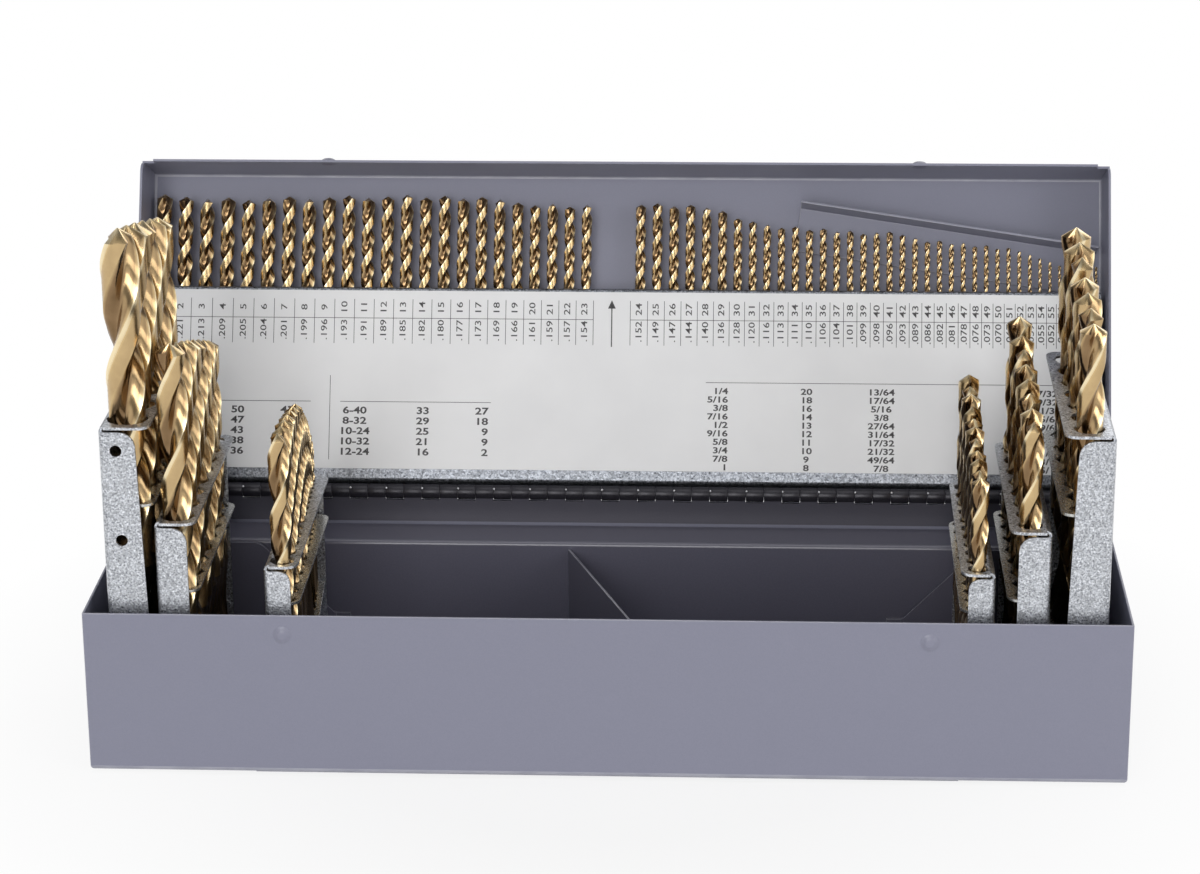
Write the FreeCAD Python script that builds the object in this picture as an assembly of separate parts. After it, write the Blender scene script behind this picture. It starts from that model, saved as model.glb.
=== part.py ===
import FreeCAD, Part
import math
import os

# Folding drill index: a sheet steel case whose lid carries a rack of sixty number drills, with three
# folding racks at each end for the fractional and letter drills. Millimetres. X runs along the case,
# Y from its front to its rear, Z up. The origin is under the middle of the case, on the surface it
# stands on. The lid is modelled open and the racks are modelled standing.

Vec = FreeCAD.Vector
INCH = 25.4

# ---- driving dimensions -------------------------------------------------------------------------
CASE_WIDTH = 339.0
CASE_DEPTH = 114.5
CASE_HEIGHT = 56.0
SHEET = 0.8
BEND = 0.9                      # inside radius of a sheet bend

FLOOR_PAD_DROP = 0.5            # the pressed pad that the case stands on
FLOOR_PAD_WIDTH = 230.0
FLOOR_PAD_MARGIN = 1.7

SNAP_SPACING = 209.0            # between the two snap domes in the front
SNAP_DROP = 6.8                 # from the rim down to a dome's centre
SNAP_RADIUS = 2.6
SNAP_HEIGHT = 0.8

LEDGE_DEPTH = 18.2              # rear channel: from the rear wall's inside to its web
LEDGE_DROP = 10.0               # from the rim down to its top
CHANNEL_FOOT = 6.0
CHANNEL_FLANGE = 8.0            # turned down against the rear wall

LID_OPEN_ANGLE = 115.0
LID_SIDE_GAP = 0.8              # lid skirt to case, each end
LID_FRONT_GAP = 0.95            # lid skirt to case front
LID_RISE = 14.0                 # hinge axis to the underside of the lid panel when shut
LID_SKIRT = 12.0                # how far the lid walls reach below the hinge axis when shut
LID_CORNER = 4.0                # rounded ends of the lid skirts

HINGE_ABOVE_RIM = 1.5
HINGE_PIN_RADIUS = 1.0
HINGE_PIN_CLEARANCE = 0.05
KNUCKLE_RADIUS = 2.3
KNUCKLE_LENGTH = 6.35
KNUCKLE_GAP = 0.1
KNUCKLE_COUNT = 52
KNUCKLE_SIDES = 8
BORE_SIDES = 4
PIN_SIDES = 12
LEAF = 1.0
LEAF_REACH = 10.5

NUMBER_RACK_DEPTH = 13.2        # front plate's face to the lid panel, less the attaching foot
NUMBER_RACK_FOOT = 8.0
NUMBER_RACK_HEM = 3.3           # hinge axis to the rack's lower bend
NUMBER_RACK_TOP = 72.9          # hinge axis to the rack's hole plate
NUMBER_RACK_END = 1.5           # rack end to lid wall
NUMBER_DRILL_GAP = 2.15         # between neighbouring drills
NUMBER_HOLE_CLEARANCE = 0.2
SPARE_HOLE_X = -3.55            # the hole in the middle that no numbered drill uses
SPARE_HOLE_RADIUS = 2.5
SPARE_HOLE_AFTER = 23           # the numbered drill to its left
SPARE_HOLE_SPACING = 9.65       # from it to the drill at each side
NUMBER_SEAT_NEAR = 9.5          # hinge axis to the seat under the largest drill
NUMBER_SEAT_FAR = 41.5          # hinge axis to the seat under the smallest drill
NUMBER_SEAT_FOOT = 4.0
NUMBER_SEAT_HALF = 167.0        # where those two distances are taken
LABEL = 0.25
LABEL_MARGIN = 1.4
LABEL_END = 1.8
LABEL_FOOT = 4.6

STOP_START = 63.3               # slanted bracket over the short drills' points
STOP_START_REACH = 32.3         # from the number rack's hole plate to the bracket's left end
STOP_END_REACH = 16.6           # and to its right end
STOP_FOOT = 16.5
STOP_LEG = 12.5

RACK_LENGTH = 88.0
RACK_FRONT_GAP = 4.95           # case front face to the racks' front plates
RACK_SHEET = 0.9
SHELF_SLOT = 0.8                # slot between an end plate and the top shelf
SHELF_CORNER = 4.0
GUIDE_FLANGE = 5.0
SEAT_FLANGE = 6.0
SHELF_INSET = 0.6               # welded shelves to the end plates' bends
HOLE_CLEARANCE = 0.3            # a hole is this much larger in radius than its drill
DRILL_SEAT_GAP = 0.02
FRONT_PLATE_HOLE = 1.9
FRONT_PLATE_HOLES = [(5.5, 110.0), (6.0, 79.5)]     # in from the left outer spine, and height

RIVET_RADIUS = 1.5
RIVET_CLEARANCE = 0.05
RIVET_SIDES = 8
RIVET_HEAD_RADIUS = 2.5
RIVET_HEAD = 0.7
BRACKET = 1.0
BRACKET_GAP = 0.4               # rack end plate to bracket
BRACKET_OUTER = 5.5             # in from the case's end to the bracket's outer return
BRACKET_TAB = 5.0
BRACKET_TOP = 45.5
BRACKET_TOP_END = 44.5          # in from the case's end to where its top starts to fall
BRACKET_LOW_TOP = 19.0
BRACKET_LOW_END = 70.5          # in from the case's end to its inner return
BRACKET_CORNER = 6.0

DIVIDER_TOP = 43.5
DIVIDER_REAR_X = -17.2
DIVIDER_FRONT_X = 17.4
DIVIDER_FOOT = 8.0

BIG_SIDES = 10                  # flat sides that stand for round on the repeated small features
SMALL_SIDES = 8
TINY_SIDES = 6
BEND_STEPS = 4                  # flat steps round a large corner; a small bend has two
FINE_BEND = 1.9
POINT_ANGLE = 118.0

# side, the spine's distance in from the case's end, shelf width, end plate width at its foot and its
# top, top shelf, guide shelf and seat heights, end plate's lower end, the pivot's height and its
# distance in from the spine
RACKS = {
    "left_outer": (-1, 7.5, 16.4, 13.9, 11.6, 118.0, 91.0, 29.0, 27.0, 37.3, 9.5),
    "left_middle": (-1, 23.9, 13.5, 10.5, 10.5, 85.5, 61.5, 10.5, 8.5, 22.3, 7.4),
    "left_inner": (-1, 58.9, 11.0, 8.6, 8.6, 71.0, 57.5, 3.5, 2.5, 9.5, 6.0),
    "right_outer": (1, 7.5, 16.4, 13.9, 11.6, 118.0, 91.0, 29.0, 27.0, 37.3, 9.5),
    "right_middle": (1, 26.6, 13.5, 10.5, 10.5, 85.5, 61.5, 10.5, 8.5, 22.3, 7.4),
    "right_inner": (1, 44.2, 11.0, 8.6, 8.6, 71.0, 57.5, 3.5, 2.5, 9.5, 6.0),
}
SEAT_RISE = {"left_inner": 30.0}    # how much higher a seat is at the rack's rear than at its front

# drill sizes in inches, listed from the front of the rack to its rear
SIXTY_FOURTHS = [n / 64.0 for n in range(32, 3, -1)]
LETTERS = [0.234, 0.238, 0.242, 0.246, 0.250, 0.257, 0.261, 0.266, 0.272, 0.277, 0.281, 0.290, 0.295,
           0.302, 0.316, 0.323, 0.332, 0.339, 0.348, 0.358, 0.368, 0.377, 0.386, 0.397, 0.404, 0.413]
RACK_DRILLS = {
    "left_outer": SIXTY_FOURTHS[0:6],
    "left_middle": SIXTY_FOURTHS[6:14],
    "left_inner": SIXTY_FOURTHS[14:29],
    "right_outer": LETTERS[19:26],
    "right_middle": LETTERS[11:19],
    "right_inner": LETTERS[0:11],
}
NUMBER_SIZES = [0.228, 0.221, 0.213, 0.209, 0.2055, 0.204, 0.201, 0.199, 0.196, 0.1935, 0.191, 0.189,
                0.185, 0.182, 0.180, 0.177, 0.173, 0.1695, 0.166, 0.161, 0.159, 0.157, 0.154, 0.152,
                0.1495, 0.147, 0.144, 0.1405, 0.136, 0.1285, 0.120, 0.116, 0.113, 0.111, 0.110,
                0.1065, 0.104, 0.1015, 0.0995, 0.098, 0.096, 0.0935, 0.089, 0.086, 0.082, 0.081,
                0.0785, 0.076, 0.073, 0.070, 0.067, 0.0635, 0.0595, 0.055, 0.052, 0.0465, 0.043,
                0.042, 0.041, 0.040]

# ---- places that follow from them -----------------------------------------------------------------
HALF_WIDTH = CASE_WIDTH / 2
HALF_DEPTH = CASE_DEPTH / 2
FLOOR_BOTTOM = FLOOR_PAD_DROP
FLOOR_TOP = FLOOR_BOTTOM + SHEET
REAR_INSIDE = HALF_DEPTH - SHEET
FRONT_INSIDE = -HALF_DEPTH + SHEET
LEDGE_TOP = CASE_HEIGHT - LEDGE_DROP
HINGE_Y = HALF_DEPTH
HINGE_Z = CASE_HEIGHT + HINGE_ABOVE_RIM
LID_INSIDE = HALF_WIDTH + LID_SIDE_GAP
LID_FRONT = CASE_DEPTH + LID_FRONT_GAP
WEB_FRONT = REAR_INSIDE - LEDGE_DEPTH
RACK_FRONT = -HALF_DEPTH + RACK_FRONT_GAP
RACK_REAR = RACK_FRONT + RACK_LENGTH
RACK_PLACES = {name: (row[0], HALF_WIDTH - row[1]) + row[2:] for name, row in RACKS.items()}
KNUCKLE_CLEAR = KNUCKLE_RADIUS / math.cos(math.pi / KNUCKLE_SIDES) + 0.15


def box(x0, x1, y0, y1, z0, z1):
    return Part.makeBox(x1 - x0, y1 - y0, z1 - z0, Vec(x0, y0, z0))


def polygon_bar(centre, direction, radius, length, sides, turn=0.5):
    """A bar with flat sides that touch a circle of this radius. The turn is in steps of one side."""
    corner = radius / math.cos(math.pi / sides)
    points = []
    for k in range(sides + 1):
        angle = 2 * math.pi * (k + turn) / sides
        points.append(Vec(corner * math.cos(angle), corner * math.sin(angle), 0))
    bar = Part.Face(Part.makePolygon(points)).extrude(Vec(0, 0, length))
    bar.Placement = FreeCAD.Placement(centre, FreeCAD.Rotation(Vec(0, 0, 1), direction))
    return bar


def sample_arc(start, middle, end):
    """Points along an arc, close enough to look round."""
    return Part.Arc(start, middle, end).toShape().discretize(BEND_STEPS + 1)


def strip_edges(points, radii):
    """Edges along points, with flat-sided rounding of the given radius at each inner point."""
    edges = []
    start = points[0]
    for k in range(1, len(points) - 1):
        corner = points[k]
        back = (points[k - 1] - corner).normalize()
        ahead = (points[k + 1] - corner).normalize()
        half = back.getAngle(ahead) / 2
        radius = radii[k]
        if radius < 1e-6:
            edges.append(Part.LineSegment(start, corner).toShape())
            start = corner
            continue
        run = radius / math.tan(half)
        bisector = (back + ahead).normalize()
        middle = corner + bisector * (radius / math.sin(half) - radius)
        arc_start = corner + back * run
        arc_end = corner + ahead * run
        stops = [arc_start, middle, arc_end]
        if radius > FINE_BEND:
            stops = sample_arc(arc_start, middle, arc_end)
        for stop in stops:
            edges.append(Part.LineSegment(start, stop).toShape())
            start = stop
    edges.append(Part.LineSegment(start, points[-1]).toShape())
    return edges


def bent_sheet(points, thickness, sweep, inside=BEND):
    """Sheet of this thickness on the left of a path of flat points, bent at its corners and swept.

    Left is judged in the plane of the path, looking back along the sweep.
    """
    normal = Vec(sweep).normalize()
    count = len(points)
    lefts = []
    for k in range(count - 1):
        along = (points[k + 1] - points[k]).normalize()
        lefts.append(normal.cross(along))
    offset = [points[0] + lefts[0] * thickness]
    near = [0.0] * count
    far = [0.0] * count
    for k in range(1, count - 1):
        miter = (lefts[k - 1] + lefts[k]).normalize()
        offset.append(points[k] + miter * (thickness / miter.dot(lefts[k])))
        turns_left = lefts[k - 1].dot(points[k + 1] - points[k]) > 0
        near[k] = inside + thickness if turns_left else inside
        far[k] = inside if turns_left else inside + thickness
    offset.append(points[-1] + lefts[-1] * thickness)
    edges = strip_edges(points, near)
    edges.append(Part.LineSegment(points[-1], offset[-1]).toShape())
    edges += strip_edges(offset[::-1], far[::-1])
    edges.append(Part.LineSegment(offset[0], points[0]).toShape())
    wire = Part.Wire(Part.__sortEdges__(edges))
    return Part.Face(wire).extrude(sweep)


def rounded_outline(points, radii, sweep):
    """A closed flat outline with a rounded corner at each point that has a radius, swept."""
    count = len(points)
    ring_points = [(points[0] + points[-1]) * 0.5] + points + [(points[0] + points[-1]) * 0.5]
    ring_radii = [0.0] + radii + [0.0]
    edges = strip_edges(ring_points, ring_radii)
    if count < 3:
        raise ValueError("an outline needs three points")
    return Part.Face(Part.Wire(Part.__sortEdges__(edges))).extrude(sweep)


def export(name, shape):
    shape.exportStep("parts/" + name + ".step")
    print(name, len(shape.Solids), round(shape.Volume, 1))


def fused(pieces):
    whole = pieces[0].fuse(pieces[1:])
    return whole.removeSplitter()


# ---- case -------------------------------------------------------------------------------------------
def dome(x, y, z, radius, height):
    """A low snap dome that stands out towards -Y, as a ring of flat sides round a smaller flat."""
    rings = []
    for r, out in ((radius, 0.0), (radius * 0.5, height)):
        ring = []
        for k in range(SMALL_SIDES):
            angle = 2 * math.pi * (k + 0.5) / SMALL_SIDES
            ring.append(Vec(x + r * math.cos(angle), y - out, z + r * math.sin(angle)))
        rings.append(ring)
    return prism_between(rings[0], rings[1])


def prism_between(lower, upper):
    """A closed solid between two rings of points with flat sides."""
    count = len(lower)
    faces = [Part.Face(Part.makePolygon(lower + [lower[0]])), Part.Face(Part.makePolygon(upper + [upper[0]]))]
    for k in range(count):
        n = (k + 1) % count
        faces.append(Part.Face(Part.makePolygon([lower[k], lower[n], upper[n], upper[k], lower[k]])))
    solid = Part.Solid(Part.Shell(faces))
    if solid.Volume < 0:
        solid.reverse()
    return solid


def case_shell():
    outer = box(-HALF_WIDTH, HALF_WIDTH, -HALF_DEPTH, HALF_DEPTH, FLOOR_BOTTOM, CASE_HEIGHT)
    low_edges = [e for e in outer.Edges if e.BoundBox.ZMax < FLOOR_BOTTOM + 0.01]
    outer = outer.makeFillet(BEND + SHEET, low_edges)
    inner = box(-HALF_WIDTH + SHEET, HALF_WIDTH - SHEET, FRONT_INSIDE, REAR_INSIDE,
                FLOOR_TOP, CASE_HEIGHT + SHEET)
    low_edges = [e for e in inner.Edges if e.BoundBox.ZMax < FLOOR_TOP + 0.01]
    inner = inner.makeFillet(BEND, low_edges)
    shell = outer.cut(inner)
    hinge_half = KNUCKLE_COUNT * KNUCKLE_LENGTH / 2 + 1.0
    under_hinge = box(-hinge_half, hinge_half, REAR_INSIDE - 1, HALF_DEPTH + 1, HINGE_Z - KNUCKLE_CLEAR,
                      CASE_HEIGHT + 1)
    shell = shell.cut(under_hinge)
    half_pad = FLOOR_PAD_WIDTH / 2
    edge = HALF_DEPTH - FLOOR_PAD_MARGIN
    pad = box(-half_pad, half_pad, -edge, edge, 0, FLOOR_BOTTOM + SHEET / 2)
    hollow = box(-half_pad + SHEET, half_pad - SHEET, -edge + SHEET, edge - SHEET, SHEET,
                 FLOOR_TOP + SHEET)
    shell = shell.fuse(pad).cut(hollow)
    for side in (-1, 1):
        x = side * SNAP_SPACING / 2
        z = CASE_HEIGHT - SNAP_DROP
        shell = shell.fuse(dome(x, -HALF_DEPTH, z, SNAP_RADIUS, SNAP_HEIGHT))
        inner_radius = SNAP_RADIUS - SHEET / 2
        shell = shell.cut(dome(x, FRONT_INSIDE, z, inner_radius, SNAP_HEIGHT))
    return shell.removeSplitter()


def rear_channel():
    """Channel of one sheet: a flange on the rear wall, the ledge, the web and a foot on the floor."""
    half = HALF_WIDTH - SHEET - 0.1
    points = [Vec(-half, REAR_INSIDE, LEDGE_TOP - CHANNEL_FLANGE), Vec(-half, REAR_INSIDE, LEDGE_TOP),
              Vec(-half, WEB_FRONT, LEDGE_TOP), Vec(-half, WEB_FRONT, FLOOR_TOP),
              Vec(-half, WEB_FRONT + CHANNEL_FOOT, FLOOR_TOP)]
    channel = bent_sheet(points, SHEET, Vec(2 * half, 0, 0))
    for side in (-1, 1):
        channel = channel.cut(side_bend_clearance(side))
    return channel


def side_bend_clearance(side):
    """Room along the bottom bend of an end wall."""
    x0 = HALF_WIDTH - SHEET - BEND - 0.2
    x1 = HALF_WIDTH
    return box(min(side * x0, side * x1), max(side * x0, side * x1), -HALF_DEPTH, HALF_DEPTH,
               FLOOR_TOP - 1, FLOOR_TOP + BEND + 0.2)


def rack_pivot(name):
    side, spine = RACK_PLACES[name][0:2]
    pivot_z, inset = RACK_PLACES[name][9:11]
    return side * (spine - inset), pivot_z


def pivot_bracket(side, front):
    """Plate with three pivot holes, stood off its wall by returned ends."""
    inward = 1 if front else -1
    face = RACK_FRONT - BRACKET_GAP if front else RACK_REAR + BRACKET_GAP
    wall = FRONT_INSIDE if front else WEB_FRONT
    tab_face = wall + inward * BRACKET
    outer = HALF_WIDTH - BRACKET_OUTER
    top_end = HALF_WIDTH - BRACKET_TOP_END
    low_end = HALF_WIDTH - BRACKET_LOW_END
    outer_end = min(outer + BRACKET_TAB, HALF_WIDTH - SHEET - 0.2)
    inner_end = low_end - BRACKET_TAB
    points = [Vec(side * outer_end, tab_face, FLOOR_TOP), Vec(side * outer, tab_face, FLOOR_TOP),
              Vec(side * outer, face, FLOOR_TOP), Vec(side * low_end, face, FLOOR_TOP),
              Vec(side * low_end, tab_face, FLOOR_TOP), Vec(side * inner_end, tab_face, FLOOR_TOP)]
    if side * inward < 0:
        points = points[::-1]
    blank = bent_sheet(points, BRACKET, Vec(0, 0, BRACKET_TOP - FLOOR_TOP), 0.3 if front else 0.05)
    y0 = min(wall, face) - 2.0
    profile = [Vec(side * (outer_end + 1), y0, FLOOR_TOP), Vec(side * (outer_end + 1), y0, BRACKET_TOP),
               Vec(side * top_end, y0, BRACKET_TOP), Vec(side * low_end, y0, BRACKET_LOW_TOP),
               Vec(side * (inner_end - 1), y0, BRACKET_LOW_TOP), Vec(side * (inner_end - 1), y0, FLOOR_TOP)]
    sweep = Vec(0, abs(wall - face) + 4.0, 0)
    plate = blank.common(rounded_outline(profile, [0, 0, BRACKET_CORNER, 1.5, 0, 0], sweep))
    plate = plate.cut(side_bend_clearance(side))
    if front:
        clear = BEND + 0.2
        plate = plate.cut(box(-HALF_WIDTH, HALF_WIDTH, wall - 1, wall + clear, 0, FLOOR_TOP + clear))
    for name in RACK_PLACES:
        x, z = rack_pivot(name)
        if x * side > 0:
            hole = RIVET_RADIUS + RIVET_CLEARANCE
            plate = plate.cut(polygon_bar(Vec(x, face - 4, z), Vec(0, 1, 0), hole, 8, RIVET_SIDES))
    return plate


def diagonal_divider():
    """Upright sheet between the two sets of folded racks, with a foot on the floor."""
    y0 = FRONT_INSIDE + 0.05
    y1 = WEB_FRONT - 0.05
    run = Vec(DIVIDER_REAR_X - DIVIDER_FRONT_X, y1 - y0, 0)
    along = Vec(run).normalize()
    across = Vec(along.y, -along.x, 0)
    start = Vec(DIVIDER_FRONT_X, y0, SHEET) - along * 6.0
    points = [start + across * DIVIDER_FOOT, start, start + Vec(0, 0, DIVIDER_TOP - SHEET)]
    sheet = bent_sheet(points, SHEET, run + along * 12.0)
    sheet = sheet.common(box(-HALF_WIDTH, HALF_WIDTH, y0, y1, SHEET, DIVIDER_TOP))
    front_bend = box(-HALF_WIDTH, HALF_WIDTH, y0 - 1, y0 + BEND + FLOOR_PAD_MARGIN + SHEET, 0,
                     FLOOR_TOP + BEND)
    return sheet.cut(front_bend)


# ---- lid, drawn shut about the hinge axis, then turned open -----------------------------------------
def lid_place(shape):
    """Turn a shape drawn shut, with the hinge axis at its origin, to the open lid."""
    shape.rotate(Vec(0, 0, 0), Vec(1, 0, 0), -LID_OPEN_ANGLE)
    shape.translate(Vec(0, HINGE_Y, HINGE_Z))
    return shape


def lid_shell():
    outer_x = LID_INSIDE + SHEET
    front = -LID_FRONT
    outer = box(-outer_x, outer_x, front - SHEET, SHEET, -LID_SKIRT, LID_RISE + SHEET)
    high_edges = [e for e in outer.Edges if e.BoundBox.ZMin > LID_RISE + SHEET - 0.01]
    outer = outer.makeFillet(BEND + SHEET, high_edges)
    inner = box(-LID_INSIDE, LID_INSIDE, front, 0, -LID_SKIRT - 1, LID_RISE)
    high_edges = [e for e in inner.Edges if e.BoundBox.ZMin > LID_RISE - 0.01]
    inner = inner.makeFillet(BEND, high_edges)
    shell = outer.cut(inner)
    rear_gap = box(-LID_INSIDE - 0.01, LID_INSIDE + 0.01, -0.01, 2 * SHEET, -LID_SKIRT - 1,
                   KNUCKLE_RADIUS + 0.6)
    shell = shell.cut(rear_gap)
    # the skirts' free corners are rounded, and open to each other
    r = LID_CORNER
    for side in (-1, 1):
        relief = box(side * (outer_x - r / 2) - r / 2 - 0.5, side * (outer_x - r / 2) + r / 2 + 0.5,
                     front - SHEET - 1, front + r, -LID_SKIRT - 1, -LID_SKIRT + r)
        corner = Vec(side * (outer_x - r / 2) - r - 1, front + r, -LID_SKIRT + r)
        rounding = Part.makeCylinder(r, 2 * r + 2, corner, Vec(1, 0, 0))
        shell = shell.cut(relief.cut(rounding))
        notch = Part.makeCylinder(r * 0.6, 3 * r, Vec(side * outer_x, front - 1.5 * r, -LID_SKIRT + 1),
                                  Vec(0, 1, 0))
        shell = shell.cut(notch.common(box(-outer_x - r, outer_x + r, front - SHEET - 1, front + 0.01,
                                           -LID_SKIRT - r, 0)))
        x = side * SNAP_SPACING / 2
        z = -(HINGE_ABOVE_RIM + SNAP_DROP)
        shell = shell.fuse(dome(x, front - SHEET, z, SNAP_RADIUS + 0.6, SNAP_HEIGHT + 0.3))
        shell = shell.cut(dome(x, front, z, SNAP_RADIUS + 0.2, SNAP_HEIGHT + 0.3))
    return lid_place(shell.removeSplitter())


def knuckle_span(k):
    start = -KNUCKLE_COUNT * KNUCKLE_LENGTH / 2 + k * KNUCKLE_LENGTH
    return start + KNUCKLE_GAP / 2, start + KNUCKLE_LENGTH - KNUCKLE_GAP / 2


def hinge_leaf(first, leaf_y, rises):
    """A leaf and every other knuckle. The leaf rises from the barrel, or hangs from it."""
    half = KNUCKLE_COUNT * KNUCKLE_LENGTH / 2
    sign = 1 if rises else -1
    clear = KNUCKLE_CLEAR
    low = min(sign * clear, sign * LEAF_REACH)
    pieces = [box(-half, half, leaf_y, leaf_y + LEAF, low, low + LEAF_REACH - clear)]
    for k in range(first, KNUCKLE_COUNT, 2):
        x0, x1 = knuckle_span(k)
        start = min(0, sign * (clear + 0.5))
        pieces.append(box(x0, x1, leaf_y, leaf_y + LEAF, start, start + clear + 0.5))
        pieces.append(polygon_bar(Vec(x0, 0, 0), Vec(1, 0, 0), KNUCKLE_RADIUS, x1 - x0, KNUCKLE_SIDES))
    leaf = fused(pieces)
    bores = []
    for k in range(first, KNUCKLE_COUNT, 2):
        x0, x1 = knuckle_span(k)
        bores.append(polygon_bar(Vec(x0 - 0.05, 0, 0), Vec(1, 0, 0), HINGE_PIN_RADIUS + HINGE_PIN_CLEARANCE,
                                 x1 - x0 + 0.1, BORE_SIDES))
    return leaf.cut(bores)


def hinge_pin():
    half = KNUCKLE_COUNT * KNUCKLE_LENGTH / 2 + 0.4
    corner_touching = HINGE_PIN_RADIUS * math.cos(math.pi / PIN_SIDES)
    return polygon_bar(Vec(-half, HINGE_Y, HINGE_Z), Vec(1, 0, 0), corner_touching, 2 * half, PIN_SIDES)


# ---- number drill rack, in the same shut frame --------------------------------------------------------
def drill_length(size):
    """Jobber length for a drill of this size in inches, to the nearest sixteenth."""
    length = min(1.1 + 13 * size, 2 + 8 * size)
    return round(length * 16) / 16 * INCH


def number_places():
    """The place along the lid of each number drill, set out both ways from the spare hole."""
    places = [0.0] * len(NUMBER_SIZES)
    left = SPARE_HOLE_AFTER - 1
    places[left] = SPARE_HOLE_X - SPARE_HOLE_SPACING
    for k in range(left - 1, -1, -1):
        places[k] = places[k + 1] - (NUMBER_SIZES[k] + NUMBER_SIZES[k + 1]) / 2 * INCH - NUMBER_DRILL_GAP
    places[left + 1] = SPARE_HOLE_X + SPARE_HOLE_SPACING
    for k in range(left + 2, len(NUMBER_SIZES)):
        places[k] = places[k - 1] + (NUMBER_SIZES[k] + NUMBER_SIZES[k - 1]) / 2 * INCH + NUMBER_DRILL_GAP
    return places


NUMBER_AXIS = NUMBER_RACK_DEPTH / 2
NUMBER_PLACES = number_places()
NUMBER_SLOPE = (NUMBER_SEAT_FAR - NUMBER_SEAT_NEAR) / (2 * NUMBER_SEAT_HALF)


def number_seat(x):
    """Distance from the hinge axis to the seat at this place along the lid."""
    return NUMBER_SEAT_NEAR + NUMBER_SLOPE * (x + NUMBER_SEAT_HALF)


def number_rack_frame():
    half = LID_INSIDE - NUMBER_RACK_END
    deep = LID_RISE
    foot = NUMBER_RACK_FOOT
    points = [Vec(-half, -NUMBER_RACK_HEM - foot - SHEET, deep), Vec(-half, -NUMBER_RACK_HEM, deep),
              Vec(-half, -NUMBER_RACK_HEM, 0), Vec(-half, -NUMBER_RACK_TOP, 0),
              Vec(-half, -NUMBER_RACK_TOP, deep), Vec(-half, -NUMBER_RACK_TOP + foot + SHEET, deep)]
    frame = bent_sheet(points[::-1], SHEET, Vec(2 * half, 0, 0))
    holes = []
    for x, size in zip(NUMBER_PLACES, NUMBER_SIZES):
        radius = size * INCH / 2 + NUMBER_HOLE_CLEARANCE
        holes.append(polygon_bar(Vec(x, -NUMBER_RACK_TOP - 1, NUMBER_AXIS), Vec(0, 1, 0), radius, SHEET + 2,
                                 TINY_SIDES))
    holes.append(polygon_bar(Vec(SPARE_HOLE_X, -NUMBER_RACK_TOP - 1, NUMBER_AXIS), Vec(0, 1, 0),
                             SPARE_HOLE_RADIUS, SHEET + 2, SMALL_SIDES))
    return lid_place(frame.cut(holes))


def number_rack_seat():
    """Sloping sheet that the drill shanks stand on, with a foot on the rack's front plate."""
    half = LID_INSIDE - NUMBER_RACK_END - 1.0
    start = Vec(-half, -number_seat(-half), SHEET + 0.02)
    run = Vec(2 * half, number_seat(-half) - number_seat(half), 0)
    across = Vec(0, 0, 1).cross(Vec(run).normalize())
    height = LID_RISE - 2 * SHEET - 0.1
    points = [start + Vec(0, 0, height), start, start + across * NUMBER_SEAT_FOOT]
    return lid_place(bent_sheet(points, SHEET, run, 0.5))


def number_rack_label():
    half = LID_INSIDE - NUMBER_RACK_END - LABEL_END
    sheet = box(-half, half, -NUMBER_RACK_TOP + LABEL_MARGIN, -NUMBER_RACK_HEM - LABEL_FOOT, -LABEL, 0)
    return lid_place(sheet)


def drill_stop_bracket():
    """Slanted angle over the points of the short drills, which keeps them in when the lid is shut."""
    end = LID_INSIDE - 2.1
    start = Vec(STOP_START, -NUMBER_RACK_TOP - STOP_START_REACH, LID_RISE)
    run = Vec(end - STOP_START, STOP_START_REACH - STOP_END_REACH, 0)
    across = Vec(0, 0, 1).cross(Vec(run).normalize())
    points = [start + across * STOP_FOOT, start, start - Vec(0, 0, STOP_LEG)]
    return lid_place(bent_sheet(points, SHEET, run, 0.6))


def plain_drill(radius, length, sides):
    """A drill standing on Z = 0: a round bar with a conical point."""
    point = radius / math.tan(math.radians(POINT_ANGLE / 2))
    corner = radius
    ring = []
    for k in range(sides):
        angle = 2 * math.pi * (k + 0.5) / sides
        ring.append(Vec(corner * math.cos(angle), corner * math.sin(angle), 0))
    lower = ring
    upper = [p + Vec(0, 0, length - point) for p in ring]
    tip = Vec(0, 0, length)
    faces = [Part.Face(Part.makePolygon(lower + [lower[0]]))]
    for k in range(sides):
        n = (k + 1) % sides
        faces.append(Part.Face(Part.makePolygon([lower[k], lower[n], upper[n], upper[k], lower[k]])))
        faces.append(Part.Face(Part.makePolygon([upper[k], upper[n], tip, upper[k]])))
    return Part.Solid(Part.Shell(faces))


def number_drills(first, last):
    drills = []
    for k in range(first - 1, last):
        radius = NUMBER_SIZES[k] * INCH / 2
        seat = -number_seat(NUMBER_PLACES[k]) - NUMBER_SLOPE * radius - DRILL_SEAT_GAP
        sides = SMALL_SIDES if k < 20 else TINY_SIDES
        drill = plain_drill(radius, drill_length(NUMBER_SIZES[k]), sides)
        drill.rotate(Vec(0, 0, 0), Vec(1, 0, 0), 90)
        drill.translate(Vec(NUMBER_PLACES[k], seat, NUMBER_AXIS))
        drills.append(lid_place(drill))
    return Part.makeCompound(drills)


# ---- folding racks --------------------------------------------------------------------------------------
def rack_drill_places(name):
    """The depth of each drill's centre, with even gaps from the front of the rack to its rear."""
    diameters = [size * INCH for size in RACK_DRILLS[name]]
    room = RACK_LENGTH - 2 * RACK_SHEET
    gap = (room - sum(diameters)) / (len(diameters) + 1)
    y = RACK_FRONT + RACK_SHEET + gap
    places = []
    for diameter in diameters:
        places.append(y + diameter / 2)
        y += diameter + gap
    return places


def seat_slope(name):
    return SEAT_RISE.get(name, 0.0) / RACK_LENGTH


def shelf_outline(side, spine, width, y0, y1, z, thickness, corner):
    """Flat shelf from the spine towards the middle of the case, with rounded free corners."""
    points = [Vec(side * spine, y0, z), Vec(side * (spine - width), y0, z),
              Vec(side * (spine - width), y1, z), Vec(side * spine, y1, z)]
    return rounded_outline(points, [0, corner, corner, 0], Vec(0, 0, -thickness))


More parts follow.
